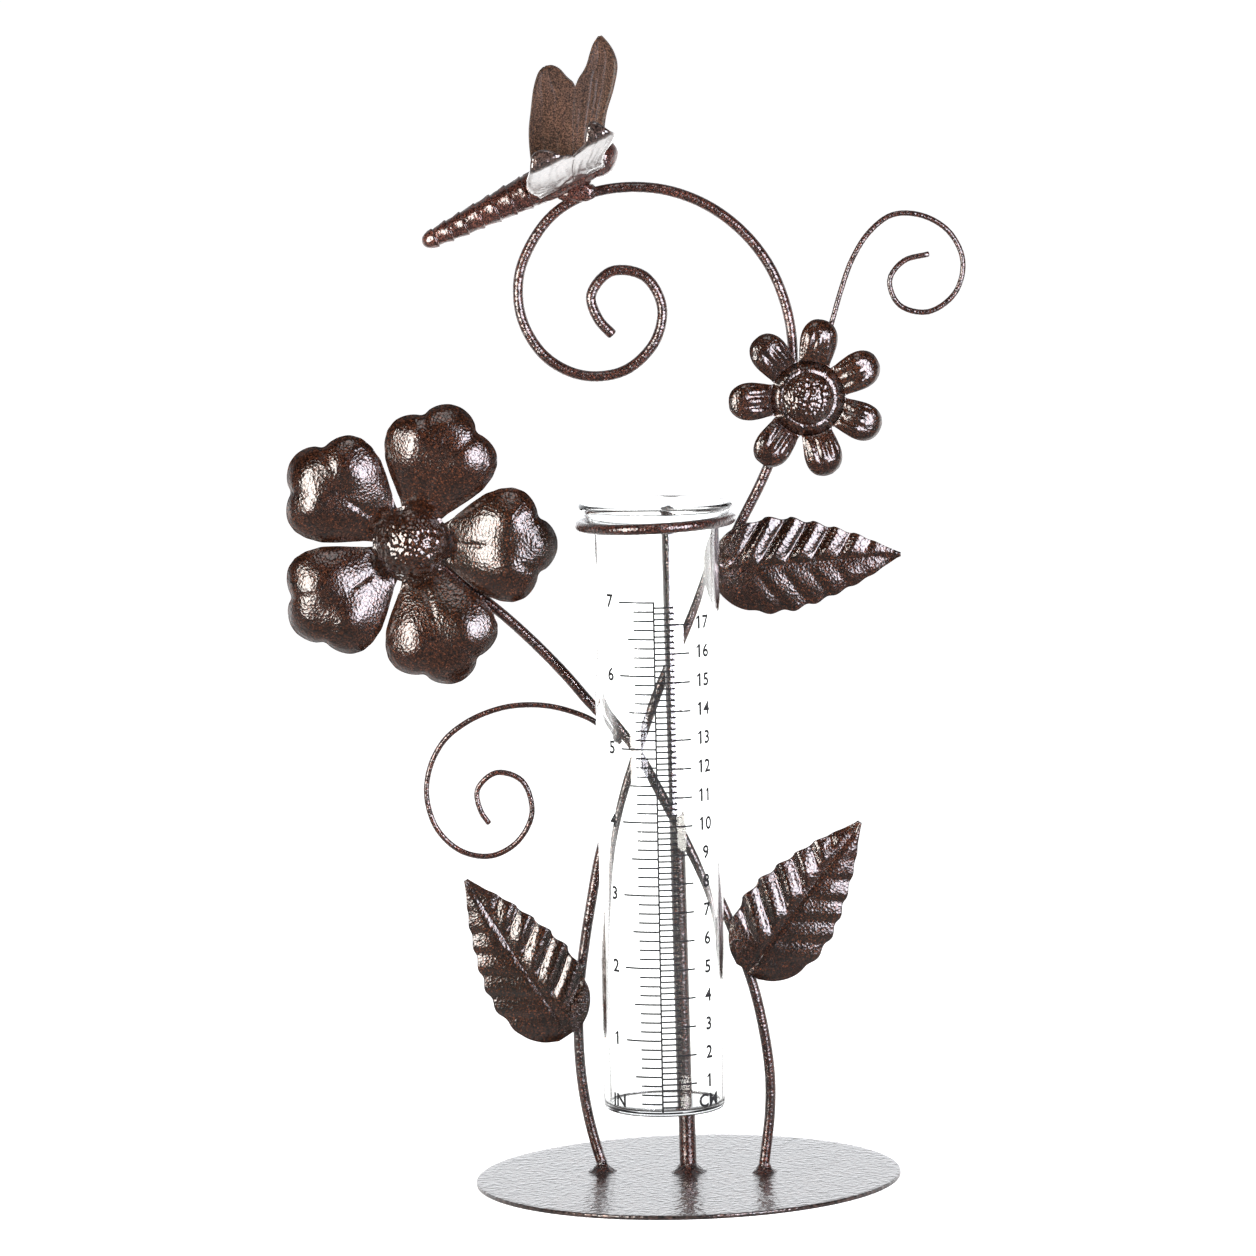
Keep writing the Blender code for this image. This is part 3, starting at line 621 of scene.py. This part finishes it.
ZERO = TUBE_BOTTOM + 1.5 * MM  # where both scales start
INCH = 25.4 * MM
SPINE_X = -0.7 * MM  # the upright line between the scales
LINE = 0.60 * MM  # width of a printed line
LONG_TICK = 12.0 * MM
INK = scale_ink()
INK_THICKNESS = 0.03 * MM
INK_LIFT = 0.07 * MM  # the print stands this far off the glass
PRINT_LEAN = -0.0020  # how far the print runs off upright
CAP_HEIGHT = 0.68  # of the built-in font, for a size of 1
ONE_WIDTH = 0.10  # its figure 1 is a plain bar, which gets a flag here
FIGURE_WEIGHT = 0.024  # how far the font's outlines are fattened
FIGURE_HEIGHT = 4.3 * MM


def on_glass(x, z):
    """A point on the print: x is how far to the right it looks from the front, z its height."""
    t = (z - OUTSIDE_LOW[0]) / (OUTSIDE_HIGH[0] - OUTSIDE_LOW[0])
    radius = OUTSIDE_LOW[1] + (OUTSIDE_HIGH[1] - OUTSIDE_LOW[1]) * t
    angle = math.asin(x / radius) + PRINT_LEAN * (z - ZERO) / radius
    reach = radius + INK_LIFT
    return TUBE_PLACE @ Vector((reach * math.sin(angle), -reach * math.cos(angle), z))


def ink_line(bm, left, right, low, high):
    """A printed bar, bent round the glass."""
    columns = max(1, math.ceil((right - left) / (1.0 * MM)))
    rows = max(1, math.ceil((high - low) / (6.0 * MM)))
    grid = []
    for row in range(rows + 1):
        z = low + (high - low) * row / rows
        line = [left + (right - left) * column / columns for column in range(columns + 1)]
        grid.append([bm.verts.new(on_glass(x, z)) for x in line])
    strip(bm, grid)


def ink_piece(name, bm):
    piece = add_piece(name, bm, INK, None, "tube")
    thicken(piece, INK_THICKNESS)


def scales():
    """Inches to the left in eighths and centimetres to the right in fifths, on one upright line."""
    bm = bmesh.new()
    ink_line(bm, SPINE_X - LINE / 2, SPINE_X + LINE / 2, ZERO, ZERO + 7 * INCH + LINE / 2)
    ink_piece("scale_spine", bm)
    bm = bmesh.new()
    for eighth in range(57):
        z = ZERO + eighth * INCH / 8
        reach = 7.1 * MM
        if eighth and eighth % 4 == 0:
            reach = LONG_TICK if eighth % 8 == 0 else 9.1 * MM
        ink_line(bm, SPINE_X - reach, SPINE_X - LINE / 2, z - LINE / 2, z + LINE / 2)
    ink_piece("inch_ticks", bm)
    bm = bmesh.new()
    for fifth in range(89):
        z = ZERO + fifth * 2.0 * MM
        reach = LONG_TICK if fifth and fifth % 5 == 0 else 6.9 * MM
        ink_line(bm, SPINE_X + LINE / 2, SPINE_X + reach, z - LINE / 2, z + LINE / 2)
    ink_piece("centimetre_ticks", bm)


def flat_figures(text):
    """The figures as a flat bmesh, as high as CAP_HEIGHT, with short edges that can be bent."""
    curve = bpy.data.curves.new("figure", "FONT")
    curve.body = text
    curve.align_x = "CENTER"
    curve.size = 1.0
    curve.resolution_u = 3
    curve.offset = FIGURE_WEIGHT
    carrier = bpy.data.objects.new("figure", curve)
    bpy.context.scene.collection.objects.link(carrier)
    bpy.context.view_layer.update()
    depsgraph = bpy.context.evaluated_depsgraph_get()
    flat = bpy.data.meshes.new_from_object(carrier.evaluated_get(depsgraph))
    bpy.data.objects.remove(carrier, do_unlink=True)
    bpy.data.curves.remove(curve)
    letters = bmesh.new()
    letters.from_mesh(flat)
    bpy.data.meshes.remove(flat)
    bmesh.ops.remove_doubles(letters, verts=letters.verts, dist=0.001)
    bars = [min(vertex.co.x for vertex in letters.verts)] if text.startswith("1") else []
    if text == "11":
        bars.append(max(vertex.co.x for vertex in letters.verts) - ONE_WIDTH)
    for left in bars:
        flag = ((left, CAP_HEIGHT), (left - 0.13, 0.575), (left - 0.13, 0.475), (left, 0.555))
        letters.faces.new([letters.verts.new((x, y, 0.0)) for x, y in flag])
    bmesh.ops.triangulate(letters, faces=letters.faces)
    long_edges = [edge for edge in letters.edges if edge.calc_length() > 0.15]
    bmesh.ops.subdivide_edges(letters, edges=long_edges, cuts=2)
    bmesh.ops.triangulate(letters, faces=letters.faces)
    return letters


def lettering(bm, text, centre_x, centre_z):
    """Adds upright figures, bent round the glass."""
    letters = flat_figures(text)
    grow = FIGURE_HEIGHT / CAP_HEIGHT
    radius = OUTSIDE_LOW[1]
    start = math.asin(centre_x / radius) * radius
    placed = {}
    for vertex in letters.verts:
        x = radius * math.sin((start + vertex.co.x * grow) / radius)
        up = (vertex.co.y - CAP_HEIGHT / 2) * grow
        placed[vertex] = bm.verts.new(on_glass(x, centre_z + up))
    for face in letters.faces:
        bm.faces.new([placed[vertex] for vertex in face.verts])
    letters.free()


def figures():
    """Inches 1 to 7 and centimetres 1 to 17, beside their long ticks, with the two unit marks."""
    bm = bmesh.new()
    for inch in range(1, 8):
        lettering(bm, str(inch), -15.9 * MM, ZERO + inch * INCH + 0.3 * MM)
    lettering(bm, "IN", -15.6 * MM, ZERO + 3.9 * MM)
    ink_piece("inch_figures", bm)
    bm = bmesh.new()
    for centimetre in range(1, 18):
        lettering(bm, str(centimetre), 15.7 * MM, ZERO + centimetre * 10 * MM + 0.4 * MM)
    lettering(bm, "CM", 15.4 * MM, ZERO + 3.5 * MM)
    ink_piece("centimetre_figures", bm)


# ---------------------------------------- leaves

VEINS = 7.2  # lateral veins along a leaf, on each side
VEIN_RAKE = 0.17  # how far forward, over the length, a vein runs to the edge
DEEP_FOLD = 0.76 * MM  # on a leaf's upper half
SHALLOW_FOLD = 0.17 * MM  # on its lower half
RIVET_MARK = Vector((18.9 * MM, 0.0, 217.0 * MM))  # a spot weld's dimple in the upper leaf


def leaf(node, start, tip):
    """A pressed leaf: sunken midrib, deep raked folds between the veins, scalloped edge."""
    origin = Vector((start[0] * MM, 0.0, start[1] * MM))
    along = (Vector((tip[0] * MM, 0.0, tip[1] * MM)) - origin).normalized()
    aside = Vector((0.0, -1.0, 0.0)).cross(along)
    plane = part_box(node)[1].y - 0.5 * MM
    outline = smooth_profile(LEAF_OUTLINE, 0.02)
    rows, columns = 170, 72
    bm = bmesh.new()
    grid = []
    for row in range(rows + 1):
        s = row / rows
        width = value_at(outline, s)
        line = []
        for column in range(columns + 1):
            across = -1 + 2 * column / columns
            out = abs(across)
            rake = VEIN_RAKE * (out * width) ** 1.15
            stagger = 0.035 if across < 0 else 0.0
            phase = math.tau * VEINS * (s - rake + stagger)
            fold = math.sin(phase) + 0.22 * math.sin(2 * phase + 0.8)
            deep = ease(0.10, 0.24, s) * ease(1.0, 0.84, s)
            scallop = 0.034 * math.cos(phase - 0.5) * deep * ease(0.72, 1.0, out)
            reach = across * width * LEAF_HALF_WIDTH * (1 + scallop)
            crown = 2.2 * MM * width * (1 - out**2.2)
            depth = DEEP_FOLD if across * aside.z > 0 else SHALLOW_FOLD
            folds = depth * fold * deep * ease(0.02, 0.30, out * width) * ease(1.05, 0.55, s)
            from_midrib = out * width * LEAF_HALF_WIDTH
            midrib = -0.4 * MM * hump(from_midrib, 0.0, 1.3 * MM) * ease(1.0, 0.9, s)
            flutter = 0.5 * MM * noise.noise(Vector((s * 4, across * 1.6, origin.x * 90)))
            flat = origin + along * s * LEAF_LENGTH + aside * reach
            mark = (Vector((flat.x, 0.0, flat.z)) - RIVET_MARK).length
            rivet = 0.45 * MM * hump(mark, 1.6 * MM, 0.5 * MM)
            lift = max(0.0, 0.25 * MM + crown + folds + midrib + flutter + rivet)
            line.append(bm.verts.new((flat.x, plane - lift, flat.z)))
        grid.append(line)
    strip(bm, grid)
    piece = add_piece(node + "_pressing", bm, COAT["sheet"], node)
    thicken(piece)


# ---------------------------------------- flowers

def flower_place(flower):
    """Axes of a flower: x and z across its face, -y out of its front; its hub lies on its stem."""
    hub_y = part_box(flower["stem"])[0].y - 0.8 * MM
    place = Matrix.Translation((flower["centre"][0] * MM, hub_y, flower["centre"][1] * MM))
    return place @ Matrix.Rotation(math.radians(flower["facing"]), 4, "Z")


def petal_outline(side):
    """The whole edge of a petal as (distance, aside), from one base corner round to the other."""
    right = smooth_profile(side, 0.8)
    left = [(distance, -aside) for distance, aside in reversed(right[:-1])]
    return right + left


def petal_base(outline, columns):
    """The arc of the hub between a petal's last and first outline points, without those two."""
    first, last = outline[0], outline[-1]
    radius = math.hypot(*first)
    arc = []
    for column in range(1, columns):
        across = last[1] + (first[1] - last[1]) * column / columns
        arc.append((math.sqrt(max(0.0, radius**2 - across**2)), across))
    return arc


def pressed_flower(name, node, place, flower, outline, height):
    """One pressing: petals filled from their middles out to their edges, joined by a flat hub."""
    rings = 22
    middle = flower["middle"]
    loop = outline + petal_base(outline, 12)
    bm = bmesh.new()
    hub_edge = []
    for petal in range(flower["petals"]):
        turn = math.radians(flower["turn"] + petal * 360 / flower["petals"])
        out = Vector((math.cos(turn), 0.0, math.sin(turn)))
        aside = Vector((-math.sin(turn), 0.0, math.cos(turn)))

        def put(distance, across, rim):
            point = out * distance + aside * across
            lift = height(distance, across, rim, petal)
            return bm.verts.new(place @ Vector((point.x * MM, -lift * MM, point.z * MM)))

        peak = put(middle, 0.0, 0.0)
        rows = []
        for ring in range(1, rings + 1):
            grow = 1 - (1 - ring / rings) ** 1.5
            row = []
            for index, (distance, across) in enumerate(loop):
                on_rim = grow if index < len(outline) else 0.0
                row.append(put(middle + (distance - middle) * grow, across * grow, on_rim))
            rows.append(row)
        fan(bm, rows[0], peak)
        strip(bm, rows, closed=True)
        edge = rows[-1]
        hub_edge += [edge[len(outline) - 1]] + edge[len(outline):] + [edge[0]]
    centre = bm.verts.new(place @ Vector((0.0, 0.0, 0.0)))
    rise = place.to_3x3() @ Vector((0.0, -0.8 * MM, 0.0))
    inner = [bm.verts.new((v.co - centre.co) * 0.72 + centre.co + rise) for v in hub_edge]
    strip(bm, [hub_edge, inner], closed=True)
    fan(bm, inner, centre)
    piece = add_piece(name, bm, COAT["sheet"], node)
    thicken(piece)


def large_petal_height(distance, across, rim, petal):
    """Domed, with a swelling on each side and on the tip, and a short groove near the hub."""
    width = value_at(LARGE_PETAL_WIDTH, distance)
    sideways = min(1.0, abs(across) / max(width, 1.0))
    lift = value_at(LARGE_PETAL_SMOOTH, distance) * (1 - 0.60 * sideways**2.4)
    lift += 0.8 * math.exp(-((abs(across) - 9.5) ** 2 / 28 + (distance - 33) ** 2 / 60))
    lift += 0.7 * math.exp(-(across**2 / 22 + (distance - 45.0) ** 2 / 12))
    valley = abs(across) - (9.7 - 0.5 * (44.4 - distance))
    lift -= 0.45 * math.exp(-(valley / 2.0) ** 2) * ease(34, 43, distance)
    lift -= 0.55 * hump(across, 0.0, 0.9) * ease(16, 18.5, distance) * ease(28, 23, distance)
    lift -= 0.7 * ease(0.84, 1.0, rim) ** 2
    lift += 0.3 * noise.noise(Vector((distance / 9, across / 9, petal * 3.1)))
    return max(0.0, lift) * ease(12.5, 16.5, math.hypot(distance, across))


def small_petal_height(distance, across, rim, petal):
    """A round-ended finger with three ribs pressed along it."""
    width = value_at(SMALL_PETAL_WIDTH, distance)
    sideways = min(1.0, abs(across) / max(width, 1.0))
    lift = value_at(SMALL_PETAL_SMOOTH, distance) * (1 - 0.55 * sideways**2.4)
    ribs = math.cos(math.tau * across / 3.4) * ease(12.5, 15, distance) * ease(24, 19, distance)
    lift += 0.30 * ribs * ease(1.0, 0.7, sideways)
    lift -= 0.5 * ease(0.8, 1.0, rim) ** 2
    lift += 0.2 * noise.noise(Vector((distance / 5, across / 5, petal * 2.3)))
    return max(0.0, lift) * ease(11.5, 14.0, math.hypot(distance, across))


LARGE_PETAL_SMOOTH = smooth_profile(LARGE_PETAL_HEIGHT, 0.8)
SMALL_PETAL_SMOOTH = smooth_profile(SMALL_PETAL_HEIGHT, 0.6)


def boss(name, node, place, radius, height, knob, relief):
    """The hollow cap on a flower's hub, beaten all over into small knobs."""
    steps, segments = 44, 168
    outer = []
    for step in range(steps + 1):
        angle = math.radians(90 * step / steps)
        outer.append((radius * math.sin(angle), height * math.cos(angle)))
    inner = [(radius - SHEET, 0.0)]
    inner += [(r - SHEET, h - SHEET) for r, h in reversed(outer[::3]) if h > SHEET and r > SHEET]
    inner.append((0.0, height - SHEET))

    stand_off = Matrix.Translation((0.0, -SHEET / 2 - 0.1 * MM, 0.0))
    spin = place @ stand_off @ Matrix.Rotation(math.radians(90), 4, "X")
    back = spin.inverted()
    bm = lathe(outer + inner, segments, spin)
    outside = 1 + steps * segments  # its vertices come first: the pole, then a ring for each step
    for vertex in list(bm.verts)[:outside]:
        point = back @ vertex.co
        nearest = noise.voronoi(point / knob)[0][0]
        normal = Vector((point.x, point.y, point.z * (radius / height) ** 2)).normalized()
        lift = relief * (0.45 - nearest) * ease(0.3 * MM, 2.0 * MM, point.z)
        vertex.co = spin @ (point + normal * lift)
    add_piece(name, bm, COAT["boss"], node)


def flowers():
    large = flower_place(LARGE_FLOWER)
    small = flower_place(SMALL_FLOWER)
    pressed_flower(
        "large_flower_pressing", "large_flower_petals", large, LARGE_FLOWER,
        petal_outline(LARGE_PETAL_SIDE), large_petal_height
    )
    pressed_flower(
        "small_flower_pressing", "small_flower_petals", small, SMALL_FLOWER,
        petal_outline(SMALL_PETAL_SIDE), small_petal_height
    )
    boss("large_flower_cap", "large_flower_boss", large, 12.5 * MM, 10.3 * MM, 2.3 * MM, 0.9 * MM)
    boss("small_flower_cap", "small_flower_boss", small, 9.4 * MM, 4.6 * MM, 1.8 * MM, 0.7 * MM)


# ---------------------------------------- dragonfly

DRAGONFLY = (
    Matrix.Translation(DRAGONFLY_PIVOT) @ Matrix.Rotation(-DRAGONFLY_CLIMB, 4, "Y")
    @ Matrix.Translation((-PIVOT_STATION * MM, 0.0, 0.0))
)


def dragonfly_body():
    """Tail of overlapping rings, thorax and head, hammered all over."""
    outline = list(TAIL_TIP)
    for (station, radius), (following, _) in zip(TAIL_RINGS, TAIL_RINGS[1:] + THORAX_AND_HEAD[:1]):
        foot = radius - TAIL_RING_STEP
        outline += [(station - 0.5, radius - 0.02), (station - 0.15, radius - 0.12), (station, foot + 0.1)]
        outline += [(station + 0.25, foot), (station + 0.8, foot + 0.12)]
        outline.append(((station + following) / 2, foot + 0.35))
    outline += THORAX_AND_HEAD
    fine = []
    for (start, low), (end, high) in zip(outline, outline[1:]):
        steps = max(1, math.ceil((end - start) / 0.8))
        fine += [(start + (end - start) * s / steps, low + (high - low) * s / steps) for s in range(steps)]
    fine.append(outline[-1])
    profile = [(radius * MM, station * MM) for station, radius in reversed(fine)]

    def bumps(point):
        fine_dents = 0.14 * MM * noise.noise(point / (1.5 * MM))
        broad_dents = 0.12 * MM * noise.noise(point / (3.4 * MM))
        return (fine_dents + broad_dents) * ease(0.0, 3.0 * MM, point.xy.length)

    bm = lathe(profile, 84, DRAGONFLY @ Matrix.Rotation(math.radians(90), 4, "Y"), bumps)
    add_piece("dragonfly_tail_and_head", bm, COAT["body"], "dragonfly_body")


def wing_section(distance, root_angle, more, bend_start, bend_end):
    """Forwards and up at that distance out from the root line, and the angle there, as the wing bends."""
    def angle_at(where):
        return math.radians(root_angle + more * ease(bend_start, bend_end, where))

    steps = 60
    angles = [angle_at(distance * (step + 0.5) / steps) for step in range(steps)]
    forwards = sum(distance / steps * math.cos(angle) for angle in angles)
    up = sum(distance / steps * math.sin(angle) for angle in angles)
    return forwards, up, angle_at(distance)


def wing_relief(across, distance, reach, is_fore):
    """How far the sheet stands out, in millimetres: rolled rim, sunken veins, and a dented root."""
    outer = across if is_fore else -across
    split = ease(27.0, 32.0, distance)
    edge = max(outer, abs(across) * split, (distance / reach) ** 6)
    rim = 0.40 * ease(0.84, 0.97, edge)
    from_middle = outer * 0.5 + 0.5
    inner_vein = hump(from_middle, 0.10 + 0.16 * distance / reach, 0.045) * ease(26, 20, distance)
    veins = sum(hump(from_middle, at + 0.06 * distance / reach, 0.035) for at in (0.38, 0.68)) + inner_vein
    veins *= 0.20 * ease(3, 9, distance) * ease(reach, reach - 10, distance)
    dish = 0.35 * (outer**2 - 0.5) * ease(8, 22, distance) * (1 if outer > 0 else split)
    dents = 0.5 * noise.noise(Vector((outer * 2 + 7 * is_fore, distance / 4, 3.0))) * ease(15, 4, distance)
    return (rim - veins + dish + dents) * ease(0.0, 3.0, distance)


def dragonfly_wings():
    """Four wings with a rolled rim and veins: one pair stands up and one lies forwards, tips turned up."""
    columns = 30
    steps = 80
    for pair, (*bend, sweep) in WING_PAIRS.items():
        side = 1 if pair == "lower" else -1  # the face that the viewer sees
        bm = bmesh.new()
        for rows in (HIND_WING_ROWS, FORE_WING_ROWS):
            trailing_edge = smooth_profile([(d, t) for d, t, _ in rows], 0.7)
            leading_edge = smooth_profile([(d, l) for d, _, l in rows], 0.7)
            reach = rows[-1][0]
            grid = []
            for step in range(steps + 1):
                distance = reach * math.sin(math.radians(90 * step / steps))
                forwards, up, angle = wing_section(distance, *bend)
                trailing = value_at(trailing_edge, distance)
                leading = value_at(leading_edge, distance)
                line = []
                for column in range(columns + 1):
                    across = -1 + 2 * column / columns
                    lift = side * wing_relief(across, distance, reach, rows is FORE_WING_ROWS)
                    out = WING_FOLD_OUT + forwards - lift * math.sin(angle)
                    height = up + lift * math.cos(angle) - WING_FOLD_DROP
                    station = trailing + (leading - trailing) * (across + 1) / 2 + sweep * distance
                    line.append(bm.verts.new(DRAGONFLY @ (Vector((station, -out, height)) * MM)))
                grid.append(line)
            strip(bm, grid)
        bmesh.ops.remove_doubles(bm, verts=bm.verts, dist=0.02 * MM)
        node = "dragonfly_wings" if pair == "upper" else None
        piece = add_piece("dragonfly_" + pair + "_wings", bm, COAT[pair + "_wing"], node, "stand")
        thicken(piece, WING_SHEET)


# ---------------------------------------- studio

# Radiances: white on the screen is 1
BACKDROP = 1.15
ROOM_FRONT = 0.05
ROOM_BACK = 1.65
ROOM_ABOVE = 0.3  # of the strength near the horizon
FLOOR_FRONT = 0.25
FLOOR_BACK = 2.4


def softbox(name, azimuth, elevation, distance, width, height, radiance, colour):
    """A soft box by its direction from the object: azimuth to the right of the camera's side."""
    azimuth = math.radians(azimuth)
    elevation = math.radians(elevation)
    level = distance * math.cos(elevation)
    aim = Vector((0.0, 0.0, 0.2))
    away = Vector((level * math.sin(azimuth), -level * math.cos(azimuth), distance * math.sin(elevation)))
    data = bpy.data.lights.new(name, "AREA")
    data.shape = "RECTANGLE"
    data.size = width
    data.size_y = height
    data.energy = radiance * math.pi * width * height
    data.color = colour
    light = bpy.data.objects.new(name, data)
    light.location = aim + away
    light.rotation_euler = (-away).to_track_quat("-Z", "Y").to_euler()
    light.visible_camera = False
    bpy.context.scene.collection.objects.link(light)


def seen_or_lit(nodes, links, output, seen, lit):
    """The camera sees one shader, and what the object reflects or is lit by is the other."""
    path = nodes.new("ShaderNodeLightPath")
    mixer = nodes.new("ShaderNodeMixShader")
    links.new(path.outputs["Is Camera Ray"], mixer.inputs["Fac"])
    links.new(lit, mixer.inputs[1])
    links.new(seen, mixer.inputs[2])
    links.new(mixer.outputs[0], output)


def fade_along(nodes, links, vector, axis, start, end, first, last):
    """A strength that runs from first to last between two places along an axis."""
    split = nodes.new("ShaderNodeSeparateXYZ")
    links.new(vector, split.inputs[0])
    fade = nodes.new("ShaderNodeMapRange")
    fade.interpolation_type = "SMOOTHSTEP"
    links.new(split.outputs[axis], fade.inputs["Value"])
    give(fade, {"From Min": start, "From Max": end, "To Min": first, "To Max": last})
    return fade.outputs["Result"]


def surroundings(scene):
    """White behind the object and dim in front of it."""
    world = bpy.data.worlds.new("studio")
    scene.world = world
    world.use_nodes = True
    nodes, links = world.node_tree.nodes, world.node_tree.links
    room = nodes["Background"]
    give(room, {"Color": (0.95, 0.97, 1.0, 1.0)})
    direction = nodes.new("ShaderNodeTexCoord").outputs["Generated"]
    by_depth = fade_along(nodes, links, direction, "Y", -0.15, 0.55, ROOM_FRONT, ROOM_BACK)
    by_height = fade_along(nodes, links, direction, "Z", 0.10, 0.50, 1.0, ROOM_ABOVE)
    links.new(maths(nodes, links, "MULTIPLY", by_depth, by_height), room.inputs["Strength"])
    white = nodes.new("ShaderNodeBackground")
    give(white, {"Color": (1.0, 1.0, 1.0, 1.0), "Strength": BACKDROP})
    seen_or_lit(nodes, links, nodes["World Output"].inputs["Surface"], white.outputs[0], room.outputs[0])


def white_floor(scene):
    """A wide disc that looks plain white and lights the object from behind."""
    bm = bmesh.new()
    bmesh.ops.create_circle(bm, cap_ends=True, segments=96, radius=40.0)
    mesh = bpy.data.meshes.new("floor")
    bm.to_mesh(mesh)
    bm.free()
    floor = bpy.data.objects.new("floor", mesh)
    floor.location.z = -0.05 * MM  # just clear of the base plate's underside
    scene.collection.objects.link(floor)
    material, nodes, links, shader = new_material("white_floor")
    give(shader, {"Base Color": (0.8, 0.8, 0.8, 1.0), "Roughness": 0.8, "Specular IOR Level": 0.0})
    give(shader, {"Emission Color": (1.0, 1.0, 1.0, 1.0), "Emission Strength": BACKDROP - 0.3})
    glow = nodes.new("ShaderNodeEmission")
    place = nodes.new("ShaderNodeTexCoord").outputs["Object"]
    strength = fade_along(nodes, links, place, "Y", -0.25, 0.45, FLOOR_FRONT, FLOOR_BACK)
    links.new(strength, glow.inputs["Strength"])
    seen_or_lit(nodes, links, nodes["Material Output"].inputs["Surface"], shader.outputs[0], glow.outputs[0])
    mesh.materials.append(material)


def studio():
    """A white sweep under and behind, and a soft box on each side of the camera."""
    scene = bpy.context.scene
    scene.view_settings.view_transform = "Standard"
    surroundings(scene)
    white_floor(scene)
    softbox("left_softbox", -43, 7, 0.85, 0.30, 0.6, 23, (1.0, 0.96, 0.91))
    softbox("right_softbox", 35, 7, 0.85, 0.39, 0.6, 21, (0.92, 0.90, 1.0))
    softbox("top_fill", 0, 62, 1.8, 0.7, 0.7, 3, (1.0, 1.0, 1.0))


def camera():
    """The view from the front, a little above the object's top, tilted down and slightly rolled."""
    distance, height = 2.3, 0.4489
    yaw, pitch, roll = -0.0068131, 0.1094419, -0.0295735
    focal_in_frames = 5.2577  # focal length over the sensor's width
    data = bpy.data.cameras.new("front")
    data.sensor_width = 36.0
    data.lens = focal_in_frames * data.sensor_width
    data.clip_end = 100.0
    view = bpy.data.objects.new("front", data)
    forward = Vector((math.sin(yaw) * math.cos(pitch), math.cos(yaw) * math.cos(pitch), -math.sin(pitch)))
    right = Vector((math.cos(yaw), -math.sin(yaw), 0.0))
    up = right.cross(forward)
    turned_right = math.cos(roll) * right + math.sin(roll) * up
    turned_up = -math.sin(roll) * right + math.cos(roll) * up
    turn = Matrix((turned_right, turned_up, -forward)).transposed().to_4x4()
    view.matrix_world = Matrix.Translation((0.0, -distance, height)) @ turn
    bpy.context.scene.collection.objects.link(view)
    bpy.context.scene.camera = view


camera()
studio()
base_plate()
rods()
holder_ring()
foot_weld("post_foot_weld", "post_weld_fillet", 6.6 * MM)
foot_weld("front_foot_weld", "front_weld_fillet", 4.6 * MM)
foot_weld("back_foot_weld", "back_weld_fillet", 5.2 * MM)
for weld_node in sorted(SLOTS):
    if weld_node.endswith("_weld") and "foot" not in weld_node and weld_node != "dragonfly_weld":
        tack_weld(weld_node)
tack_weld("dragonfly_weld", 0.78, "body")
glass_tube()
scales()
figures()
for leaf_node, (leaf_start, leaf_tip) in LEAVES.items():
    leaf(leaf_node, leaf_start, leaf_tip)
flowers()
dragonfly_body()
dragonfly_wings()
